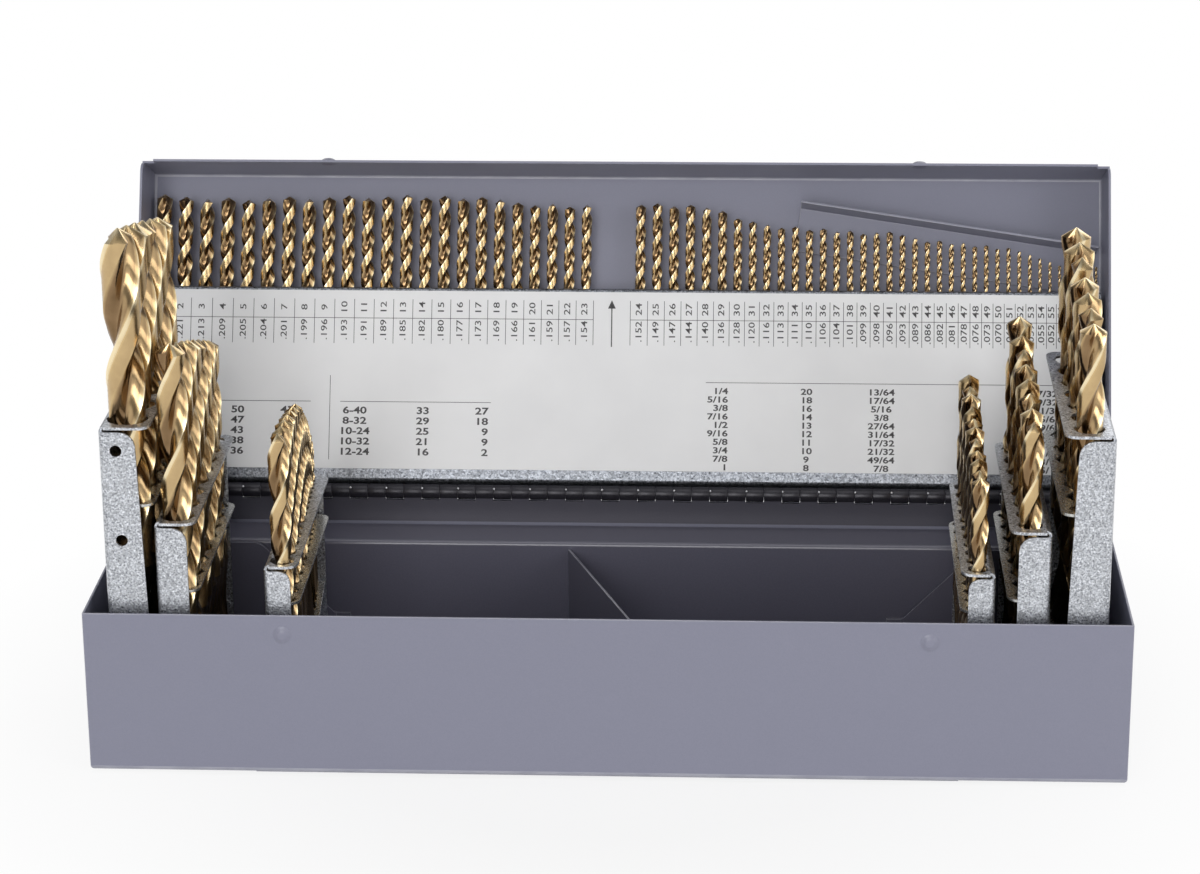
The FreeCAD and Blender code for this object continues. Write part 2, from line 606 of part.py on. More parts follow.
def drill_holes(name, z, depth, sides):
    side, spine, shelf = RACK_PLACES[name][0:3]
    holes = []
    flat_to_neighbour = 0.5 if sides % 4 == 0 else 0.0
    for y, size in zip(rack_drill_places(name), RACK_DRILLS[name]):
        radius = size * INCH / 2 + HOLE_CLEARANCE
        holes.append(polygon_bar(Vec(side * (spine - shelf / 2), y, z), Vec(0, 0, 1), radius, depth, sides,
                                 flat_to_neighbour))
    return holes


def rack_angle(side, points, length, inside=BEND):
    """An angle along a rack, its sheet on the rack's inner side of a path that rises then turns in."""
    ordered = points[::-1] if side > 0 else points
    return bent_sheet(ordered, RACK_SHEET, Vec(0, length, 0), inside)


def rack_frame(name):
    """Spine, end plates and top shelf, bent from one sheet."""
    side, spine, shelf, foot, top, top_z = RACK_PLACES[name][0:6]
    low, pivot_z = RACK_PLACES[name][8:10]
    t = RACK_SHEET
    plate_top = top_z - t - SHELF_SLOT
    inner = side * (spine - foot)
    points = [Vec(inner, RACK_FRONT, low), Vec(side * spine, RACK_FRONT, low),
              Vec(side * spine, RACK_REAR, low), Vec(inner, RACK_REAR, low)]
    ordered = points if side > 0 else points[::-1]
    channel = bent_sheet(ordered, t, Vec(0, 0, plate_top - low))
    y0 = RACK_FRONT - 1
    profile = [Vec(side * (spine + 1), y0, low), Vec(side * (spine + 1), y0, plate_top),
               Vec(side * (spine - top), y0, plate_top), Vec(side * (spine - foot), y0, pivot_z),
               Vec(side * (spine - foot), y0, low)]
    corner = min(5.0, 0.45 * top)
    channel = channel.common(rounded_outline(profile, [0, 0, corner, 0, 2.5], Vec(0, RACK_LENGTH + 2, 0)))
    y1 = RACK_FRONT + 2 * BEND
    neck = rack_angle(side, [Vec(side * spine, y1, plate_top - 4.0), Vec(side * spine, y1, top_z),
                             Vec(side * (spine - shelf), y1, top_z)], RACK_LENGTH - 4 * BEND)
    keep = shelf_outline(side, spine + 1, shelf + 1, RACK_FRONT, RACK_REAR, top_z + 1, top_z, SHELF_CORNER)
    flat = shelf_outline(side, spine - 2 * BEND, shelf - 2 * BEND, RACK_FRONT, RACK_REAR, top_z, t,
                         SHELF_CORNER)
    frame = fused([channel, neck.common(keep), flat])
    tools = drill_holes(name, top_z - 2 * t, 3 * t, SMALL_SIDES if name.endswith("inner") else BIG_SIDES)
    x, z = rack_pivot(name)
    for y in (RACK_FRONT - 1, RACK_REAR - t - 1):
        tools.append(polygon_bar(Vec(x, y, z), Vec(0, 1, 0), RIVET_RADIUS + 0.02, t + 2, RIVET_SIDES))
    if name == "left_outer":
        for inset, height in FRONT_PLATE_HOLES:
            tools.append(polygon_bar(Vec(side * (spine - inset), RACK_FRONT - 1, height), Vec(0, 1, 0),
                                     FRONT_PLATE_HOLE, t + 2, BIG_SIDES))
    return frame.cut(tools)


def guide_shelf(name):
    """Second drilled shelf, an angle welded to the spine."""
    side, spine, shelf = RACK_PLACES[name][0:3]
    z = RACK_PLACES[name][6]
    y0 = RACK_FRONT + RACK_SHEET + BEND + SHELF_INSET
    y1 = RACK_REAR - RACK_SHEET - BEND - SHELF_INSET
    x = side * (spine - RACK_SHEET - 0.01)
    path = [Vec(x, y0, z - GUIDE_FLANGE), Vec(x, y0, z), Vec(side * (spine - shelf), y0, z)]
    angle = rack_angle(side, path, y1 - y0)
    keep = shelf_outline(side, spine, shelf, y0, y1, z + 1, GUIDE_FLANGE + 2, SHELF_CORNER)
    return angle.common(keep).cut(drill_holes(name, z - 2 * RACK_SHEET, 3 * RACK_SHEET, TINY_SIDES))


def seat_shelf(name):
    """Bottom shelf, an angle welded to the spine, which the drill shanks stand on."""
    side, spine, shelf, foot = RACK_PLACES[name][0:4]
    seat_z = RACK_PLACES[name][7]
    t = RACK_SHEET
    inset = t + BEND + SHELF_INSET
    spare = 20.0
    x = side * (spine - t - 0.01)
    y0 = RACK_FRONT - spare
    z = seat_z - t
    points = [Vec(side * (spine - foot), y0, z), Vec(x, y0, z), Vec(x, y0, seat_z + SEAT_FLANGE)]
    angle = rack_angle(side, points, RACK_LENGTH + 2 * spare, 0.3)
    tilt = math.degrees(math.atan(seat_slope(name)))
    angle.rotate(Vec(0, RACK_FRONT, seat_z), Vec(1, 0, 0), tilt)
    keep = box(-HALF_WIDTH, HALF_WIDTH, RACK_FRONT + inset, RACK_REAR - inset, 0, CASE_HEIGHT)
    return angle.common(keep)


def rack_drills(name):
    side, spine, shelf = RACK_PLACES[name][0:3]
    drills = []
    for y, size in zip(rack_drill_places(name), RACK_DRILLS[name]):
        radius = size * INCH / 2
        seat = RACK_PLACES[name][7] + seat_slope(name) * (y + radius - RACK_FRONT)
        drill = plain_drill(radius, drill_length(size), SMALL_SIDES if name.endswith("inner") else BIG_SIDES)
        drill.translate(Vec(side * (spine - shelf / 2), y, seat + DRILL_SEAT_GAP))
        drills.append(drill)
    return Part.makeCompound(drills)


def pivot_rivets(name):
    """Front and rear rivets that the rack turns on: a head inside, a shank and a tail."""
    x, z = rack_pivot(name)
    rivets = []
    for face, outward in ((RACK_FRONT, -1), (RACK_REAR, 1)):
        inside = face - outward * RACK_SHEET
        far = face + outward * (BRACKET_GAP + BRACKET + 0.15)
        corner_touching = RIVET_RADIUS * math.cos(math.pi / RIVET_SIDES)
        reach = abs(far - inside)
        shank = polygon_bar(Vec(x, inside, z), Vec(0, outward, 0), corner_touching, reach, RIVET_SIDES)
        head = polygon_bar(Vec(x, inside, z), Vec(0, -outward, 0), RIVET_HEAD_RADIUS, RIVET_HEAD, RIVET_SIDES)
        tail = polygon_bar(Vec(x, far, z), Vec(0, outward, 0), RIVET_HEAD_RADIUS, RIVET_HEAD, RIVET_SIDES)
        rivets.append(fused([shank, head, tail]))
    return Part.makeCompound(rivets)


os.makedirs("parts", exist_ok=True)

export("case_shell", case_shell())
export("rear_channel", rear_channel())
export("left_front_bracket", pivot_bracket(-1, True))
export("left_rear_bracket", pivot_bracket(-1, False))
export("right_front_bracket", pivot_bracket(1, True))
export("right_rear_bracket", pivot_bracket(1, False))
export("diagonal_divider", diagonal_divider())

case_leaf = hinge_leaf(0, -SHEET - LEAF, False)
case_leaf.translate(Vec(0, HINGE_Y, HINGE_Z))
export("hinge_case_leaf", case_leaf)
export("hinge_lid_leaf", lid_place(hinge_leaf(1, -LEAF, True)))
export("hinge_pin", hinge_pin())

export("lid_shell", lid_shell())
export("number_rack_frame", number_rack_frame())
export("number_rack_seat", number_rack_seat())
export("number_rack_label", number_rack_label())
export("drill_stop_bracket", drill_stop_bracket())
export("number_drills_1_to_20", number_drills(1, 20))
export("number_drills_21_to_40", number_drills(21, 40))
export("number_drills_41_to_60", number_drills(41, 60))

for rack in RACK_PLACES:
    export(rack + "_rack_frame", rack_frame(rack))
    export(rack + "_guide_shelf", guide_shelf(rack))
    export(rack + "_seat_shelf", seat_shelf(rack))
    export(rack + "_drills", rack_drills(rack))
    export(rack + "_pivot_rivets", pivot_rivets(rack))
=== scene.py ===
import math

import bpy
from mathutils import Matrix, Vector


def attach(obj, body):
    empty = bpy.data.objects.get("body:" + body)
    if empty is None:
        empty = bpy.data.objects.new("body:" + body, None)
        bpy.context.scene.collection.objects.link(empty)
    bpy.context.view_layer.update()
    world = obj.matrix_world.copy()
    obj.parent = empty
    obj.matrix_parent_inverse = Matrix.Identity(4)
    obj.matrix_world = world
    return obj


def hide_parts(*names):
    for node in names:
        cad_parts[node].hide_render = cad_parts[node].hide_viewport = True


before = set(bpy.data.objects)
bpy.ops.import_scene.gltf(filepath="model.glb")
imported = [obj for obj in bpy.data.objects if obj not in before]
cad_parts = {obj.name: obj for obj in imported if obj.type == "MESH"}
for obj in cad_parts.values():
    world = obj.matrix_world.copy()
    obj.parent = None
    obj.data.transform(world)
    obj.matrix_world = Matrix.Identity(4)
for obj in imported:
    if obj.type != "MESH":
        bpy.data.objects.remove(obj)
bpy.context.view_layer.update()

# The bench and the view: a white bench top under soft studio light, looked at through a long lens
# from a little above the front. The bench is only a setting and isn't part of the drill index.
scene = bpy.context.scene
scene.view_settings.view_transform = "Standard"

LENS = 104.6
EYE = Vector((0.0509, -1.0961, 0.4783))
YAW, PITCH, ROLL = math.radians(-2.86), math.radians(19.1), math.radians(0.4)
bpy.ops.object.camera_add(location=EYE)
camera = bpy.context.active_object
camera.name = "bench_camera"
camera.data.lens = LENS
camera.data.sensor_width = 36.0
ahead = Vector((math.sin(YAW) * math.cos(PITCH), math.cos(YAW) * math.cos(PITCH), -math.sin(PITCH)))
right = Vector((math.cos(YAW), -math.sin(YAW), 0.0))
down = ahead.cross(right)
right_rolled = math.cos(ROLL) * right + math.sin(ROLL) * down
down_rolled = math.cos(ROLL) * down - math.sin(ROLL) * right
facing = Matrix((right_rolled, -down_rolled, -ahead)).transposed().to_4x4()
camera.matrix_world = Matrix.Translation(EYE) @ facing
scene.camera = camera

studio = bpy.data.worlds.new("studio_world")
scene.world = studio
studio.use_nodes = True
wn, wl = studio.node_tree.nodes, studio.node_tree.links
wn.clear()
world_out = wn.new("ShaderNodeOutputWorld")
world_shine = wn.new("ShaderNodeBackground")
world_path = wn.new("ShaderNodeLightPath")
world_seen = wn.new("ShaderNodeMath")
world_seen.operation = "MAXIMUM"
world_clear = wn.new("ShaderNodeMath")
world_clear.operation = "MAXIMUM"
world_level = wn.new("ShaderNodeMapRange")
world_level.inputs["To Min"].default_value = 0.50
world_level.inputs["To Max"].default_value = 1.0
wl.new(world_path.outputs["Is Camera Ray"], world_seen.inputs[0])
wl.new(world_path.outputs["Is Glossy Ray"], world_seen.inputs[1])
wl.new(world_seen.outputs[0], world_clear.inputs[0])
wl.new(world_path.outputs["Is Transmission Ray"], world_clear.inputs[1])
wl.new(world_clear.outputs[0], world_level.inputs["Value"])
wl.new(world_level.outputs[0], world_shine.inputs["Strength"])
wl.new(world_shine.outputs[0], world_out.inputs["Surface"])
# overhead the studio is dim, and round the horizon it is bright, so bare metal shows bands
sky_place = wn.new("ShaderNodeTexCoord")
sky_split = wn.new("ShaderNodeSeparateXYZ")
sky_ramp = wn.new("ShaderNodeValToRGB")
sky_ramp.color_ramp.elements[0].position = 0.30
sky_ramp.color_ramp.elements[0].color = (1, 1, 1, 1)
sky_ramp.color_ramp.elements[1].position = 0.78
sky_ramp.color_ramp.elements[1].color = (0.42, 0.43, 0.45, 1)
# and dark flags stand between the softboxes, which only the bright metal mirrors
flags = wn.new("ShaderNodeValToRGB")
flags.color_ramp.interpolation = "EASE"
flags.color_ramp.elements[0].position = 0.0
flags.color_ramp.elements[0].color = (1, 1, 1, 1)
flags.color_ramp.elements[1].position = 1.0
flags.color_ramp.elements[1].color = (1, 1, 1, 1)
FLAG_LEVELS = ((0.07, 1.0), (0.13, 0.16), (0.30, 0.22), (0.34, 1.25), (0.41, 1.25), (0.45, 0.14),
               (0.60, 0.20), (0.64, 1.1), (0.72, 0.9), (0.78, 0.16), (0.90, 0.25), (0.94, 1.0))
for place, level in FLAG_LEVELS:
    stop = flags.color_ramp.elements.new(place)
    stop.color = (level, level, level, 1)
flag_place = wn.new("ShaderNodeMapRange")
flag_place.inputs["From Min"].default_value = -1.0
flag_amount = wn.new("ShaderNodeMath")
flag_amount.operation = "MULTIPLY"
flag_amount.inputs[1].default_value = 0.85
flagged = wn.new("ShaderNodeMix")
flagged.data_type = "RGBA"
flagged.blend_type = "MULTIPLY"
wl.new(sky_place.outputs["Generated"], sky_split.inputs[0])
wl.new(sky_split.outputs["Z"], sky_ramp.inputs["Fac"])
wl.new(sky_split.outputs["X"], flag_place.inputs["Value"])
wl.new(flag_place.outputs[0], flags.inputs["Fac"])
wl.new(world_path.outputs["Is Glossy Ray"], flag_amount.inputs[0])
wl.new(flag_amount.outputs[0], flagged.inputs["Factor"])
wl.new(sky_ramp.outputs["Color"], flagged.inputs["A"])
wl.new(flags.outputs["Color"], flagged.inputs["B"])
wl.new(flagged.outputs["Result"], world_shine.inputs["Color"])

# each lamp's place, what it is aimed at, its size and its power in watts
for lamp_name, place, aim, size, power in (
    ("front_softbox", (-0.30, -2.1, 0.80), (0, 0, 0.09), 1.2, 20.5),
    ("right_softbox", (1.6, -1.3, 0.7), (0, 0, 0.05), 1.0, 7.0),
    ("top_softbox", (0.1, -0.3, 1.9), (0, 0, 0.05), 1.2, 6.5),
    ("rear_softbox", (0.6, 2.0, 1.1), (0, 0, 0.08), 1.2, 7.0),
):
    bpy.ops.object.light_add(type="AREA", location=place)
    lamp = bpy.context.active_object
    lamp.name = lamp_name
    lamp.data.size = size
    lamp.data.energy = power
    lamp.rotation_euler = (Vector(aim) - Vector(place)).to_track_quat("-Z", "Y").to_euler()

bpy.ops.object.select_all(action="DESELECT")
BENCH_SIZE, BENCH_UNDER = 14.0, 0.0004
bpy.ops.mesh.primitive_plane_add(size=BENCH_SIZE, location=(0, 0, -BENCH_UNDER))
bench = bpy.context.active_object
bench.name = "bench_top"
bench_white = bpy.data.materials.new("bench_white")
bench_white.use_nodes = True
nodes, links = bench_white.node_tree.nodes, bench_white.node_tree.links
nodes["Principled BSDF"].inputs["Base Color"].default_value = (0.90, 0.90, 0.90, 1)
nodes["Principled BSDF"].inputs["Roughness"].default_value = 0.80
# away from the drill index the bench fades into a plain white sweep
sweep = nodes.new("ShaderNodeEmission")
sweep_place = nodes.new("ShaderNodeTexCoord")
sweep_far = nodes.new("ShaderNodeVectorMath")
sweep_far.operation = "LENGTH"
sweep_fade = nodes.new("ShaderNodeMapRange")
sweep_fade.inputs["From Min"].default_value = 0.10
sweep_fade.inputs["From Max"].default_value = 0.26
sweep_fade.inputs["To Min"].default_value = 0.80
sweep_seen = nodes.new("ShaderNodeLightPath")
sweep_mirrored = nodes.new("ShaderNodeMath")
sweep_mirrored.operation = "MAXIMUM"
sweep_through = nodes.new("ShaderNodeMath")
sweep_through.operation = "MAXIMUM"
sweep_amount = nodes.new("ShaderNodeMath")
sweep_amount.operation = "MULTIPLY"
sweep_mix = nodes.new("ShaderNodeMixShader")
links.new(sweep_place.outputs["Object"], sweep_far.inputs[0])
links.new(sweep_far.outputs["Value"], sweep_fade.inputs["Value"])
links.new(sweep_seen.outputs["Is Camera Ray"], sweep_mirrored.inputs[0])
links.new(sweep_seen.outputs["Is Glossy Ray"], sweep_mirrored.inputs[1])
links.new(sweep_mirrored.outputs[0], sweep_through.inputs[0])
links.new(sweep_seen.outputs["Is Transmission Ray"], sweep_through.inputs[1])
links.new(sweep_through.outputs[0], sweep_amount.inputs[0])
links.new(sweep_fade.outputs[0], sweep_amount.inputs[1])
links.new(sweep_amount.outputs[0], sweep_mix.inputs["Fac"])
links.new(nodes["Principled BSDF"].outputs[0], sweep_mix.inputs[1])
links.new(sweep.outputs[0], sweep_mix.inputs[2])
links.new(sweep_mix.outputs[0], nodes["Material Output"].inputs["Surface"])
bench.data.materials.append(bench_white)


# The case, the lid and the fixed sheets inside them: mild steel, folded on a press brake, and stoved
# in a blue-grey semi-gloss enamel with a faint orange peel. The eased edges are painted brighter: partly wear
# where the paint is thin, partly a painted highlight.
def node_group(name, ins, outs):
    """An empty shader group with these sockets, and the nodes that stand for its inputs and outputs."""
    group = bpy.data.node_groups.new(name, "ShaderNodeTree")
    for socket, kind, value in ins:
        made = group.interface.new_socket(name=socket, in_out="INPUT", socket_type=kind)
        made.default_value = value
    for socket, kind in outs:
        group.interface.new_socket(name=socket, in_out="OUTPUT", socket_type=kind)
    return group, group.nodes.new("NodeGroupInput"), group.nodes.new("NodeGroupOutput")


mottle, g_in, g_out = node_group(
    "mottled_sheet",
    [("Light Tone", "NodeSocketColor", (0.7, 0.7, 0.7, 1)),
     ("Dark Tone", "NodeSocketColor", (0.4, 0.4, 0.4, 1)),
     ("Scale", "NodeSocketFloat", 300.0), ("Bump", "NodeSocketFloat", 0.1)],
    [("Tone", "NodeSocketColor"), ("Mask", "NodeSocketFloat"), ("Normal", "NodeSocketVector")])
gn, gl = mottle.nodes, mottle.links
g_place = gn.new("ShaderNodeTexCoord")
g_noise = gn.new("ShaderNodeTexNoise")
g_noise.inputs["Detail"].default_value = 3.0
g_mask = gn.new("ShaderNodeMapRange")
g_mask.inputs["From Min"].default_value = 0.33
g_mask.inputs["From Max"].default_value = 0.67
g_mix = gn.new("ShaderNodeMix")
g_mix.data_type = "RGBA"
g_bump = gn.new("ShaderNodeBump")
g_bump.inputs["Distance"].default_value = 0.0004
gl.new(g_place.outputs["Object"], g_noise.inputs["Vector"])
gl.new(g_in.outputs["Scale"], g_noise.inputs["Scale"])
gl.new(g_noise.outputs["Fac"], g_mask.inputs["Value"])
gl.new(g_mask.outputs[0], g_mix.inputs["Factor"])
gl.new(g_in.outputs["Dark Tone"], g_mix.inputs["A"])
gl.new(g_in.outputs["Light Tone"], g_mix.inputs["B"])
gl.new(g_noise.outputs["Fac"], g_bump.inputs["Height"])
gl.new(g_in.outputs["Bump"], g_bump.inputs["Strength"])
gl.new(g_mix.outputs["Result"], g_out.inputs["Tone"])
gl.new(g_mask.outputs[0], g_out.inputs["Mask"])
gl.new(g_bump.outputs["Normal"], g_out.inputs["Normal"])

# the eased edges take a lighter tone, broken by chips: partly paint wear and partly a painted highlight where
# light catches the edge
wear_and_highlight_edge, g_in, g_out = node_group(
    "wear_and_highlight_edge",
    [("Tone", "NodeSocketColor", (0.3, 0.3, 0.3, 1)),
     ("Edge Tone", "NodeSocketColor", (0.6, 0.6, 0.6, 1)),
     ("Amount", "NodeSocketFloat", 0.6)],
    [("Tone", "NodeSocketColor")])
gn, gl = wear_and_highlight_edge.nodes, wear_and_highlight_edge.links
g_edge = gn.new("ShaderNodeAttribute")
g_edge.attribute_name = "edge"
g_place = gn.new("ShaderNodeTexCoord")
g_chips = gn.new("ShaderNodeTexNoise")
g_chips.inputs["Scale"].default_value = 110.0
g_chips.inputs["Detail"].default_value = 4.0
g_break = gn.new("ShaderNodeMapRange")
g_break.inputs["From Min"].default_value = 0.05
g_break.inputs["From Max"].default_value = 0.60
g_some = gn.new("ShaderNodeMath")
g_some.operation = "MULTIPLY"
g_much = gn.new("ShaderNodeMath")
g_much.operation = "MULTIPLY"
g_mix = gn.new("ShaderNodeMix")
g_mix.data_type = "RGBA"
gl.new(g_place.outputs["Object"], g_chips.inputs["Vector"])
gl.new(g_chips.outputs["Fac"], g_break.inputs["Value"])
gl.new(g_edge.outputs["Fac"], g_some.inputs[0])
gl.new(g_break.outputs[0], g_some.inputs[1])
gl.new(g_some.outputs[0], g_much.inputs[0])
gl.new(g_in.outputs["Amount"], g_much.inputs[1])
gl.new(g_much.outputs[0], g_mix.inputs["Factor"])
gl.new(g_in.outputs["Tone"], g_mix.inputs["A"])
gl.new(g_in.outputs["Edge Tone"], g_mix.inputs["B"])
gl.new(g_mix.outputs["Result"], g_out.inputs["Tone"])


def sheet_finish(name, light, dark, edge_tone, scale, bump, edge_wear_and_highlight, metallic, rough, rougher):
    """A sheet's surface: two tones in a fine mottle, with its eased edges in a third tone.

    The dark spots have the first roughness and the light ones the second.
    """
    finish = bpy.data.materials.new(name)
    finish.use_nodes = True
    nodes, links = finish.node_tree.nodes, finish.node_tree.links
    shader = nodes["Principled BSDF"]
    spots = nodes.new("ShaderNodeGroup")
    spots.node_tree = mottle
    spots.inputs["Light Tone"].default_value = (*light, 1)
    spots.inputs["Dark Tone"].default_value = (*dark, 1)
    spots.inputs["Scale"].default_value = scale
    spots.inputs["Bump"].default_value = bump
    edges = nodes.new("ShaderNodeGroup")
    edges.node_tree = wear_and_highlight_edge
    edges.inputs["Edge Tone"].default_value = (*edge_tone, 1)
    edges.inputs["Amount"].default_value = edge_wear_and_highlight
    gloss = nodes.new("ShaderNodeMapRange")
    gloss.inputs["To Min"].default_value = rough
    gloss.inputs["To Max"].default_value = rougher
    links.new(spots.outputs["Tone"], edges.inputs["Tone"])
    links.new(edges.outputs["Tone"], shader.inputs["Base Color"])
    links.new(spots.outputs["Mask"], gloss.inputs["Value"])
    links.new(gloss.outputs[0], shader.inputs["Roughness"])
    links.new(spots.outputs["Normal"], shader.inputs["Normal"])
    shader.inputs["Metallic"].default_value = metallic
    return finish


enamel = sheet_finish("blue_grey_enamel", light=(0.233, 0.236, 0.306), dark=(0.221, 0.224, 0.292),
                      edge_tone=(0.56, 0.56, 0.60), scale=2400.0, bump=0.05, edge_wear_and_highlight=0.42,
                      metallic=0.0, rough=0.38, rougher=0.44)
enamel.node_tree.nodes["Principled BSDF"].inputs["Coat Weight"].default_value = 0.12
# the sheets inside have one thin, glossier coat; their darker tone is painted shade, for the shade down in
# the case's well
shaded_inner_enamel = sheet_finish("inner_enamel_painted_shade", light=(0.105, 0.103, 0.138), dark=(0.094, 0.092, 0.124),
                            edge_tone=(0.42, 0.42, 0.46), scale=1800.0, bump=0.05, edge_wear_and_highlight=0.75,
                            metallic=0.0, rough=0.30, rougher=0.38)
shaded_inner_enamel.node_tree.nodes["Principled BSDF"].inputs["Coat Weight"].default_value = 0.55
shaded_inner_enamel.node_tree.nodes["Principled BSDF"].inputs["Coat Roughness"].default_value = 0.16


def eased_sheet(node, piece_name, body, finish, ease):
    """A sheet as the CAD has it, with its sharp edges eased by a small bevel and marked for wear and a
    painted highlight.

    A face is taken for the bevel's own when it is no wider than the bevel.
    """
    narrowest = ease * 1.2
    bpy.ops.object.select_all(action="DESELECT")
    piece = bpy.data.objects.new(piece_name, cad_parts[node].data.copy())
    scene.collection.objects.link(piece)
    bpy.context.view_layer.objects.active = piece
    piece.select_set(True)
    piece.data.materials.clear()
    piece.data.materials.append(finish)
    bpy.ops.object.mode_set(mode="EDIT")
    bpy.ops.mesh.select_all(action="SELECT")
    bpy.ops.mesh.remove_doubles(threshold=0.000002)
    bpy.ops.mesh.dissolve_limited(angle_limit=math.radians(0.5))
    bpy.ops.object.mode_set(mode="OBJECT")
    bevel = piece.modifiers.new("eased_edges", "BEVEL")
    bevel.width = ease
    bevel.segments = 2
    bevel.limit_method = "ANGLE"
    bevel.angle_limit = math.radians(50)
    bevel.use_clamp_overlap = True
    bpy.ops.object.modifier_apply(modifier=bevel.name)
    # the narrow bevel faces are marked for the lighter edge tone, which is wear and painted highlight
    edge = piece.data.attributes.new("edge", "FLOAT", "FACE")
    narrow = [0.0] * len(piece.data.polygons)
    for face in piece.data.polygons:
        corners = [piece.data.vertices[k].co for k in face.vertices]
        sides = sorted((corners[k] - corners[k - 1]).length for k in range(len(corners)))
        if sides[0] < narrowest and face.area < sides[-1] * narrowest:
            narrow[face.index] = 1.0
    edge.data.foreach_set("value", narrow)
    bpy.ops.object.shade_smooth_by_angle(angle=math.radians(32))
    flat = piece.modifiers.new("flat_faces_stay_flat", "WEIGHTED_NORMAL")
    flat.keep_sharp = True
    flat.weight = 100
    bpy.ops.object.modifier_apply(modifier=flat.name)
    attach(piece, body)
    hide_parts(node)


PAINTED_EDGE = 0.00022
eased_sheet("case_shell", "case_shell_painted", "case", enamel, PAINTED_EDGE)
for node in ("rear_channel", "diagonal_divider", "left_front_bracket", "left_rear_bracket",
             "right_front_bracket", "right_rear_bracket"):
    eased_sheet(node, node + "_painted", "case", shaded_inner_enamel, PAINTED_EDGE)
for node, slot in (("lid_shell", "grey_paint"), ("drill_stop_bracket", "inner_paint")):
    eased_sheet(node, node + "_painted", "lid", enamel, PAINTED_EDGE)

# The snap domes: shallow round bumps pressed outwards in the case's front and in the lid's edge, which
# click over each other when the lid shuts. They are in the sheet itself, under the same enamel.
DOME_X = 0.1045
CASE_FACE_Y, CASE_DOME_UP = -0.05723, 0.0492
LID_EDGE, LID_DOME_DEEP = 0.11623, 0.0083
# how far out each ring of a dome is, and how high, as shares of its radius and its height
DOME_RINGS = ((0.93, 0.06), (0.84, 0.18), (0.74, 0.38), (0.63, 0.62), (0.53, 0.84), (0.43, 0.99),
              (0.30, 1.04), (0.12, 1.06))
# the lid rests open, so its small pieces are placed as on a shut lid and turned about the hinge axis
HINGE_Y, HINGE_Z, LID_TURN = 0.05725, 0.0575, math.radians(-115)
lid_open = Matrix.Translation((0, HINGE_Y, HINGE_Z)) @ Matrix.Rotation(LID_TURN, 4, "X")


def snap_dome(name, body, wide, high, place):
    """A pressed dome of this radius, which rises along its own Z and is set in the sheet by place."""
    bpy.ops.object.select_all(action="DESELECT")
    bpy.ops.mesh.primitive_circle_add(vertices=32, radius=wide, fill_type="NGON")
    dome = bpy.context.active_object
    dome.name = name
    bpy.ops.object.mode_set(mode="EDIT")
    bpy.ops.mesh.select_all(action="SELECT")
    reached, was = 0.0, wide
    for share, level in DOME_RINGS:
        rise = (0, 0, level * high - reached)
        bpy.ops.mesh.extrude_region_move(TRANSFORM_OT_translate={"value": rise})
        bpy.ops.transform.resize(value=(share * wide / was, share * wide / was, 1),
                                 center_override=(0, 0, level * high))
        reached, was = level * high, share * wide
    bpy.ops.object.mode_set(mode="OBJECT")
    dome.data.materials.append(enamel)
    bpy.ops.object.shade_smooth()
    dome.matrix_world = place
    bpy.ops.object.transform_apply(location=True, rotation=True, scale=True)
    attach(dome, body)


facing_front = Matrix.Rotation(math.pi / 2, 4, "X")
for side, x in (("left", -DOME_X), ("right", DOME_X)):
    snap_dome(side + "_case_dome", "case", wide=0.0031, high=0.00082,
              place=Matrix.Translation((x, CASE_FACE_Y, CASE_DOME_UP)) @ facing_front)
    snap_dome(side + "_lid_dome", "lid", wide=0.0037, high=0.00112,
              place=lid_open @ Matrix.Translation((x, -LID_EDGE, -LID_DOME_DEEP)) @ facing_front)

# The six folding racks and the lid's number rack: zinc-plated sheet, which shows a bright, fine
# spangle. Each rack is one blank with its end plates and top shelf folded, and two shelves welded in.
zinc = sheet_finish("spangled_zinc", light=(0.86, 0.88, 0.92), dark=(0.34, 0.36, 0.40),
                    edge_tone=(0.93, 0.94, 0.95), scale=1700.0, bump=0.30, edge_wear_and_highlight=0.8,
                    metallic=0.85, rough=0.24, rougher=0.46)


def lay_crystals(finish, scale, low, high):
    """Each crystal of the spangle takes its own tone, so cells are laid over the fine noise."""
    nodes, links = finish.node_tree.nodes, finish.node_tree.links
    crystal_place = nodes.new("ShaderNodeTexCoord")
    crystals = nodes.new("ShaderNodeTexVoronoi")
    crystals.inputs["Scale"].default_value = scale
    crystal_tone = nodes.new("ShaderNodeSeparateColor")
    crystal_range = nodes.new("ShaderNodeMapRange")
    crystal_range.inputs["To Min"].default_value = low
    crystal_range.inputs["To Max"].default_value = high
    crystal_mix = nodes.new("ShaderNodeMix")
    crystal_mix.data_type = "RGBA"
    crystal_mix.blend_type = "MULTIPLY"
    crystal_mix.inputs["Factor"].default_value = 1.0
    links.new(crystal_place.outputs["Object"], crystals.inputs["Vector"])
    links.new(crystals.outputs["Color"], crystal_tone.inputs["Color"])
    links.new(crystal_tone.outputs["Red"], crystal_range.inputs["Value"])
    base = nodes["Principled BSDF"].inputs["Base Color"]
    links.new(base.links[0].from_socket, crystal_mix.inputs["A"])
    links.new(crystal_range.outputs[0], crystal_mix.inputs["B"])
    links.new(crystal_mix.outputs["Result"], base)


lay_crystals(zinc, scale=1500.0, low=0.55, high=1.05)
shelf_zinc = sheet_finish("rolled_shelf_zinc", light=(0.66, 0.66, 0.64), dark=(0.50, 0.50, 0.48),
                          edge_tone=(0.92, 0.93, 0.93), scale=1500.0, bump=0.12, edge_wear_and_highlight=0.9,
                          metallic=0.92, rough=0.20, rougher=0.32)
lay_crystals(shelf_zinc, scale=1100.0, low=0.82, high=1.05)
